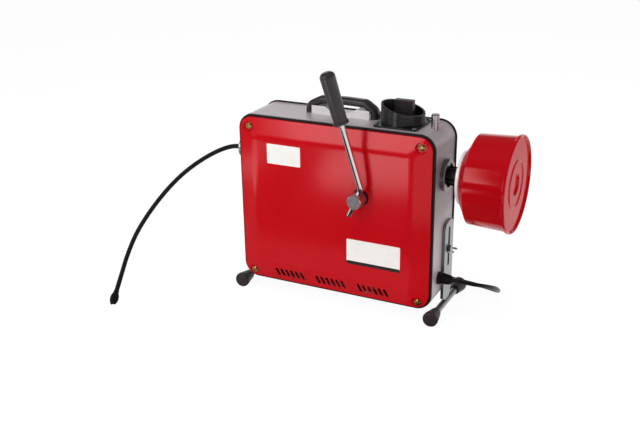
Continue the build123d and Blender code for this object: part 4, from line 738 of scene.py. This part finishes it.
class DRAIN_OT_stage(bpy.types.Operator):
    """Camera at the photograph's angle, soft studio light and a white floor"""
    bl_idname = "drain.stage"
    bl_label = "Studio"

    def execute(self, context):
        scene = context.scene
        scene.view_settings.view_transform = "Standard"
        self.camera(scene)
        self.floor()
        self.air(scene)
        for lamp in LAMPS:
            self.lamp(scene, *lamp)
        return {"FINISHED"}

    def camera(self, scene):
        """Camera of the photograph"""
        yaw, pitch, roll = (math.radians(a) for a in (CAMERA_YAW, CAMERA_PITCH, CAMERA_ROLL))
        ahead = Vector((-math.sin(yaw) * math.cos(pitch), math.cos(yaw) * math.cos(pitch), -math.sin(pitch)))
        right = Vector((math.cos(yaw), math.sin(yaw), 0))
        up = right.cross(ahead)
        across = right * math.cos(roll) + up * math.sin(roll)
        over = up * math.cos(roll) - right * math.sin(roll)
        lens = bpy.data.cameras.new("photo_camera")
        lens.sensor_fit = "HORIZONTAL"
        lens.sensor_width = CAMERA_SENSOR
        lens.lens = CAMERA_LENS
        lens.clip_end = CAMERA_REACH
        camera = bpy.data.objects.new("photo_camera", lens)
        turn = Matrix((across, over, -ahead)).transposed().to_4x4()
        camera.matrix_world = Matrix.Translation(CAMERA_PLACE) @ turn
        scene.collection.objects.link(camera)
        scene.camera = camera

    def floor(self):
        """White floor, with cloths on it and a flag behind the camera that only gloss sees, for contrast"""
        half = FLOOR_HALF
        floor = new_mesh("floor", [(-half, -half, 0), (half, -half, 0), (half, half, 0), (-half, half, 0)],
                         [(0, 1, 2, 3)], self.paper())
        cloths = []
        for count, (left, front, right, back, tone) in enumerate(CLOTHS, 1):
            spots = ((left, front), (right, front), (right, back), (left, back))
            corners = [(x, y, CLOTH_LIFT) for x, y in spots]
            cloths.append(new_mesh("floor_cloth_%d" % count, corners, [(0, 1, 2, 3)], self.cloth(tone)))
        flag = new_mesh("camera_flag", FLAG_CORNERS, [(0, 1, 2, 3)], self.cloth(FLAG_TONE))
        for piece in (*cloths, flag):
            piece.visible_camera = False
            piece.visible_diffuse = False
            piece.visible_shadow = False

    def paper(self):
        """White paper that glows where it is seen, and keeps a faint shadow"""
        made, tree = new_material("white_paper_sweep")
        ray = add(tree, "ShaderNodeLightPath").outputs
        seen = add(tree, "ShaderNodeMath", {0: ray["Is Camera Ray"], 1: ray["Is Glossy Ray"]},
                   operation="MAXIMUM")
        seen = add(tree, "ShaderNodeMath", {0: seen.outputs[0], 1: ray["Is Transmission Ray"]},
                   operation="MAXIMUM")
        share = add(tree, "ShaderNodeMath", {0: seen.outputs[0], 1: GLOW_SHARE}, operation="MULTIPLY")
        sheet = add(tree, "ShaderNodeBsdfDiffuse", {
            "Color": (PAPER_TONE, PAPER_TONE, PAPER_TONE, 1), "Roughness": 0.6})
        glow = add(tree, "ShaderNodeEmission", {"Strength": FLOOR_GLOW})
        shader = add(tree, "ShaderNodeMixShader", {
            "Fac": share.outputs[0], 1: sheet.outputs[0], 2: glow.outputs[0]})
        return finished(made, tree, shader)

    def cloth(self, tone):
        """Dull studio cloth that gives gloss something darker to show"""
        made, tree = new_material("studio_cloth")
        weave = add(tree, "ShaderNodeTexNoise", {"Scale": CLOTH_THREADS})
        shade = add(tree, "ShaderNodeMapRange", {
            "Value": weave.outputs["Fac"], "To Min": tone * 0.6, "To Max": tone * 1.4})
        return finished(made, tree, add(tree, "ShaderNodeBsdfDiffuse", {"Color": shade.outputs["Result"]}))

    def air(self, scene):
        """Even light on the part; where the air is seen, a white backdrop under a darker ceiling"""
        world = bpy.data.worlds.new("studio_air")
        scene.world = world
        world.use_nodes = True
        sky = world.node_tree
        sky.nodes.clear()
        ray = add(sky, "ShaderNodeLightPath").outputs
        seen = add(sky, "ShaderNodeMath", {0: ray["Is Camera Ray"], 1: ray["Is Transmission Ray"]},
                   operation="MAXIMUM")
        seen = add(sky, "ShaderNodeMath", {0: seen.outputs[0], 1: ray["Is Glossy Ray"]},
                   operation="MAXIMUM")
        way = add(sky, "ShaderNodeTexCoord").outputs["Generated"]
        height = add(sky, "ShaderNodeSeparateXYZ", {"Vector": way}).outputs["Z"]
        drop = add(sky, "ShaderNodeMapRange", {
            "Value": height, "From Min": BACKDROP_LOW, "From Max": BACKDROP_HIGH,
            "To Min": BACKDROP_TONE, "To Max": CEILING_TONE})
        level = add(sky, "ShaderNodeMapRange", {
            "Value": seen.outputs[0], "To Min": AIR_LEVEL, "To Max": drop.outputs["Result"]})
        air = add(sky, "ShaderNodeBackground", {
            "Color": (1, 1, 1, 1), "Strength": level.outputs["Result"]})
        add(sky, "ShaderNodeOutputWorld", {"Surface": air.outputs[0]})

    def lamp(self, scene, name, spot, target, width, height, lean, power, glossy):
        """Soft box or card, hidden from the camera"""
        lamp = bpy.data.lights.new(name, "AREA")
        lamp.shape = "RECTANGLE"
        lamp.size = width
        lamp.size_y = height
        lamp.energy = power
        piece = bpy.data.objects.new(name, lamp)
        piece.location = spot
        turn = (Vector(target) - Vector(spot)).to_track_quat("-Z", "Y")
        piece.rotation_euler = (turn @ Quaternion((0, 0, 1), math.radians(lean))).to_euler()
        piece.visible_camera = False
        piece.visible_glossy = glossy
        scene.collection.objects.link(piece)


class DRAIN_OT_cable(bpy.types.Operator):
    """Drain cable wound from spring wire, with the barrel head on its end"""
    bl_idname = "drain.cable"
    bl_label = "Drain cable"

    def execute(self, context):
        sizes = context.scene.drain_sizes
        points = [case_point(*p) for p in CABLE_ROUTE]
        points += [case_point(*(HEAD_FOOT - HEAD_RUN * HEAD_LEAD_IN)), case_point(*HEAD_FOOT)]
        line = line_points(points, CABLE_STEPS)
        cable = wound_tube("wound_cable", line, sizes.cable_diameter / 2 + RIDGE_PROUD, sizes.cable_wire,
                           CABLE_SIDES, steel_wire())
        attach(cable, "case")
        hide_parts("drain_cable")
        core = self.socket(sizes.cable_diameter / 2)
        head = self.barrel()
        for piece in (core, head):
            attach(piece, "case")
        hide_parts("auger_head")
        return {"FINISHED"}

    def socket(self, r):
        """Socket on the cable's end and the core inside the barrel, for a cable of radius r"""
        return turned_mesh("head_socket", [
            (0, 0.001), (0, r + 0.0006), (0.0006, r + 0.001), (0.0042, r + 0.001), (0.0048, r + 0.0002),
            (0.007, r + 0.0006), (0.012, r + 0.0016), (0.017, r + 0.0018), (0.022, r + 0.0008),
            (0.0265, r - 0.0008), (0.0285, r - 0.0024), (0.0292, 0.0005)],
            case_point(*HEAD_FOOT), HEAD_RUN, steel_wire())

    def barrel(self):
        """Open barrel of wire"""
        foot = case_point(*HEAD_FOOT)
        side = HEAD_RUN.orthogonal().normalized()
        other = HEAD_RUN.cross(side)
        count = HEAD_TURNS * TURN_POINTS
        helix = []
        for step in range(count + 1):
            share = step / count
            angle = 2 * math.pi * HEAD_TURNS * share
            reach = (HEAD_R - HEAD_WIRE / 2 - HEAD_TAPER * (2 * share - 1) ** 2) / 1000
            along = (HEAD_FIRST + HEAD_LENGTH * share) / 1000
            out = side * math.cos(angle) + other * math.sin(angle)
            helix.append(foot + HEAD_RUN * along + out * reach)
        head = route_curve("barrel_head", helix, HEAD_WIRE / 2000, WIRE_STEPS)
        head.data.materials.append(steel_wire())
        return head


class DRAIN_OT_lead(bpy.types.Operator):
    """Mains lead from its gland, round behind the machine into a tied coil, and its plug"""
    bl_idname = "drain.lead"
    bl_label = "Mains lead"

    def execute(self, context):
        sizes = context.scene.drain_sizes
        points = self.route()
        lead = route_curve("mains_lead", points, sizes.lead_diameter / 2, LEAD_STEPS)
        lead.data.materials.append(jacket())
        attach(lead, "case")
        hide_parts("power_cord", "cord_coil", "plug_lead")

        run = Vector((1, 0, 0))
        plug = self.plug(points[-1], run)
        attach(plug, "case")
        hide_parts("mains_plug")
        pins = self.pins(points[-1], run)
        for piece, slot in zip(pins, ("black_plastic", "zinc_steel") * 2):
            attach(piece, "case")

        tie = self.tie()
        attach(tie, "case")
        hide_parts("cord_tie")
        return {"FINISHED"}

    def route(self):
        """Control points from the gland through the coil to the plug"""
        last = 2 * math.pi * COIL_ALL_TURNS
        count = round(COIL_ALL_TURNS * COIL_POINTS)
        coil = [coil_point(last * step / count) for step in range(count + 1)]
        come = (coil_point(COIL_NUDGE) - coil_point(0)).normalized()
        leave = (coil[-1] - coil_point(last - COIL_NUDGE)).normalized()
        end = coil[-1]
        aside = end.y + PLUG_ASIDE
        route = [Vector(p) for p in LEAD_ROUTE] + [coil[0] - come * COIL_LEAD_IN] + coil
        route += [end + leave * COIL_LEAD_OUT, Vector((DROP_X, aside, end.z - DROP)),
                  Vector((PLUG_END - PLUG_LEVEL, aside, PLUG_Z)), Vector((PLUG_END, aside, PLUG_Z))]
        return [case_point(*p) for p in route]

    def plug(self, foot, run):
        """Moulded plug with a ribbed sleeve"""
        ribs = [(along + SLEEVE_PITCH * rib, radius + SLEEVE_GROWTH * rib)
                for rib in range(SLEEVE_RIBS) for along, radius in SLEEVE_SECTION]
        return turned_mesh("plug_body", [PLUG_MOUTH] + ribs + PLUG_PROFILE, foot, run, rubber())

    def pins(self, foot, run):
        """Two pins, each after its plastic sleeve"""
        made = []
        for pin, across in enumerate((-PIN_SPREAD, PIN_SPREAD), 1):
            at = foot + Vector((PIN_ROOT, across, 0))
            made.append(turned_mesh("pin_sleeve_%d" % pin, PIN_SLEEVE_PROFILE, at, run, moulding(),
                                    PIN_SIDES))
            made.append(turned_mesh("plug_pin_%d" % pin, PIN_PROFILE, at, run, zinc(), PIN_SIDES))
        return made

    def tie(self):
        """Woven strap round the coil"""
        angle = math.radians(TIE_ANGLE)
        wide = COIL_RATE * LAYER_ANGLE + LEAD_D + COIL_RATE * CLIMB / 2 + 4 * BODY_GAP
        tall = COIL_PITCH * (COIL_LAYERS - 1) + LEAD_D + 2 * BODY_GAP
        outward = Vector((math.cos(angle), math.sin(angle), 0))
        along = Vector((-math.sin(angle), math.cos(angle), 0))
        middle = Vector((*COIL_CENTRE, TIE_THICK + tall / 2)) + outward * COIL_MID_R
        loop = rounded_outline(-wide / 2, wide / 2, -tall / 2, tall / 2, TIE_CORNER)
        verts = []
        for x, z in loop:
            lean = Vector((x / wide, z / tall)).normalized()
            for out, over in TIE_SECTION:
                spot = middle + outward * (x + lean.x * out) + Vector((0, 0, z + lean.y * out)) + along * over
                verts.append(case_point(*spot))
        faces = ring_faces(len(loop), len(TIE_SECTION), closed=True)
        strap = finish(strap_weave, "woven_polyamide_strap")
        return new_mesh("coil_strap", verts, faces, strap, smooth_angle=50.0)


class DRAIN_OT_case(bpy.types.Operator):
    """Finishes of the case: silver band, red covers, rubber gaskets, screws and collars"""
    bl_idname = "drain.case"
    bl_label = "Case"

    def execute(self, context):
        paint(finish(silver_paint, "silver_paint_on_sheet_steel"), "body_band")
        paint(enamel(), "front_cover", "rear_cover")
        paint(rubber(), "front_gasket", "rear_gasket")
        paint(yellow_zinc(), "cover_screws")
        paint(zinc(), "end_bolt", "lever_bracket")
        paint(alloy(), "nose_collar")
        paint(satin_steel(), "rear_collar")
        paint(moulding(), "cord_gland")
        return {"FINISHED"}


class DRAIN_OT_drum(bpy.types.Operator):
    """Finishes of the cable drum and its coupling"""
    bl_idname = "drain.drum"
    bl_label = "Cable drum"

    def execute(self, context):
        paint(drum_enamel(), "drum_shell")
        paint(lid_enamel(), "drum_lid")
        paint(satin_alloy(), "drum_ring")
        paint(moulding(), "drum_hub")
        paint(steel_wire(), "cable_pack", "inner_cable")
        return {"FINISHED"}


class DRAIN_OT_lever(bpy.types.Operator):
    """Finishes of the clamping lever"""
    bl_idname = "drain.lever"
    bl_label = "Clamping lever"

    def execute(self, context):
        paint(chrome(), "lever_rod")
        paint(cast_zinc(), "lever_hub")
        paint(soft_grip(), "lever_grip")
        paint(moulding(), "lever_bush")
        paint(zinc(), "lever_shaft")
        return {"FINISHED"}


class DRAIN_OT_controls(bpy.types.Operator):
    """Finishes of the switch, handle and spindle lock, the ribs of the switch's cup and the lock's spring"""
    bl_idname = "drain.controls"
    bl_label = "Top controls"

    def execute(self, context):
        paint(glossy_moulding(), "switch_guard")
        ribs = self.ribs()
        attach(ribs, "case")
        paint(lightened_moulding(), "switch_knob")
        paint(moulding(), "switch_block")
        paint(soft_grip(), "carry_handle")
        paint(satin_alloy(), "handle_tray")
        paint(ground_steel(), "lock_pin")
        paint(zinc(), "switch_screws", "handle_bolts", "lock_spring")
        self.spring(context.scene.drain_sizes.spring_wire)
        return {"FINISHED"}

    def ribs(self):
        """Thin ring with ribs round the switch's cup"""
        low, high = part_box("switch_guard")
        loop = [(RIB_HEIGHTS[0] - RIB_MARGIN, GUARD_R - RIB_SUNK)]
        loop += [(z + up, GUARD_R + out) for z in RIB_HEIGHTS for up, out in RIB_SECTION]
        loop.append((RIB_HEIGHTS[-1] + RIB_MARGIN, GUARD_R - RIB_SUNK))
        foot = Vector(((low.x + high.x) / 2, (low.y + high.y) / 2, low.z))
        return turned_mesh("guard_ribs", loop, foot, Vector((0, 0, 1)), glossy_moulding(), GUARD_SIDES,
                           ring=True)

    def spring(self, wire):
        """Spring under the lock pin, wound to fill the box of the CAD spring"""
        low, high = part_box("lock_spring")
        middle = (low + high) / 2
        radius = (high.x - low.x - wire) / 2
        rise = high.z - low.z - wire
        count = SPRING_TURNS * TURN_POINTS
        helix = []
        for step in range(count + 1):
            angle = 2 * math.pi * SPRING_TURNS * step / count
            helix.append((middle.x + radius * math.cos(angle), middle.y + radius * math.sin(angle),
                          low.z + wire / 2 + rise * step / count))
        mesh = curve_mesh(route_curve("spring_line", helix, wire / 2, WIRE_STEPS))
        mesh.materials.append(zinc())
        piece = bpy.data.objects.new("lock_coil", mesh)
        bpy.context.scene.collection.objects.link(piece)
        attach(piece, "case")
        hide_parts("lock_spring")
        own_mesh(piece)


class DRAIN_OT_stand(bpy.types.Operator):
    """Finishes of the two clamp-on legs"""
    bl_idname = "drain.stand"
    bl_label = "Legs"

    def execute(self, context):
        paint(zinc(), "left_leg", "right_leg", "leg_bolts")
        paint(foot_rubber(), "left_foot_caps", "right_foot_caps")
        return {"FINISHED"}


class DRAIN_OT_inside(bpy.types.Operator):
    """Finishes of the spindle drive inside the case"""
    bl_idname = "drain.inside"
    bl_label = "Spindle drive"

    def execute(self, context):
        paint(zinc(), "spindle", "thrust_sleeve", "jaw_a", "jaw_b", "jaw_c", "fork_pin", "front_bearing",
              "rear_bearing", "motor_shaft")
        paint(finish(shade_dark_casting, "dark_paint_on_casting"), "shift_fork", "motor_housing", "motor_cradle")
        paint(alloy(), "driven_pulley", "drive_pulley", "capacitor")
        paint(rubber(), "drive_belt")
        return {"FINISHED"}


class DRAIN_OT_plates(bpy.types.Operator):
    """Two blank plates on the front cover, the larger with a dark foot strip"""
    bl_idname = "drain.plates"
    bl_label = "Blank plates"

    def execute(self, context):
        white = finish(vinyl_plate, "blank_white_vinyl", context.scene.drain_colours.plate)
        dark = finish(vinyl_plate, "blank_black_vinyl", hex_linear("#242021"))
        sizes = context.scene.drain_sizes
        self.plate("small_plate", SMALL_PLATE, 0, white, sizes)
        self.plate("rating_plate", RATING_PLATE, 0, white, sizes)
        self.plate("rating_plate_foot", RATING_FOOT, 1, dark, sizes)
        return {"FINISHED"}

    def plate(self, name, edges, layer, material, sizes):
        """Thin plate with round corners and a fine bevel, on a layer counted from the panel"""
        left, right, low, high = edges
        thick = sizes.plate_thickness
        outline = rounded_outline(*edges, min(sizes.plate_corner * 1000, (high - low) / 3))
        back = PANEL_Y - thick * layer
        middle_x, middle_z = (left + right) / 2, (low + high) / 2
        rings = ((0, back), (0, back - thick * PLATE_EDGE), (PLATE_BEVEL, back - thick))
        verts = []
        for inset, y in rings:
            shrink = 1 - inset / (right - left)
            for x, z in outline:
                spot = case_point(middle_x + (x - middle_x) * shrink, 0, middle_z + (z - middle_z) * shrink)
                verts.append((spot.x, y, spot.z))
        count = len(outline)
        faces = [tuple(range(2 * count, 3 * count))] + ring_faces(len(rings), count)
        piece = new_mesh(name, verts, faces, material, smooth_angle=30.0)
        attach(piece, "case")


class DRAIN_PT_machine(bpy.types.Panel):
    """Sizes, colours and pieces of the drain cleaning machine"""
    bl_idname = "DRAIN_PT_machine"
    bl_label = "Drain machine"
    bl_space_type = "VIEW_3D"
    bl_region_type = "UI"
    bl_category = "Drain machine"

    def draw(self, context):
        for group in (context.scene.drain_sizes, context.scene.drain_colours):
            column = self.layout.column()
            for key in group.__annotations__:
                column.prop(group, key)
        for piece in PIECES:
            self.layout.operator(piece.bl_idname)


PIECES = (DRAIN_OT_stage, DRAIN_OT_cable, DRAIN_OT_lead, DRAIN_OT_case, DRAIN_OT_drum, DRAIN_OT_lever,
          DRAIN_OT_controls, DRAIN_OT_stand, DRAIN_OT_inside, DRAIN_OT_plates)
CLASSES = (DrainColours, DrainSizes, *PIECES, DRAIN_PT_machine)


def register():
    for kind in CLASSES:
        bpy.utils.register_class(kind)
    bpy.types.Scene.drain_colours = PointerProperty(type=DrainColours)
    bpy.types.Scene.drain_sizes = PointerProperty(type=DrainSizes)


def unregister():
    del bpy.types.Scene.drain_sizes
    del bpy.types.Scene.drain_colours
    for kind in reversed(CLASSES):
        bpy.utils.unregister_class(kind)


def main():
    register()
    bpy.ops.drain.stage()
    bpy.ops.drain.cable()
    bpy.ops.drain.lead()
    bpy.ops.drain.case()
    bpy.ops.drain.drum()
    bpy.ops.drain.lever()
    bpy.ops.drain.controls()
    bpy.ops.drain.stand()
    bpy.ops.drain.inside()
    bpy.ops.drain.plates()


if __name__ == "__main__":
    main()
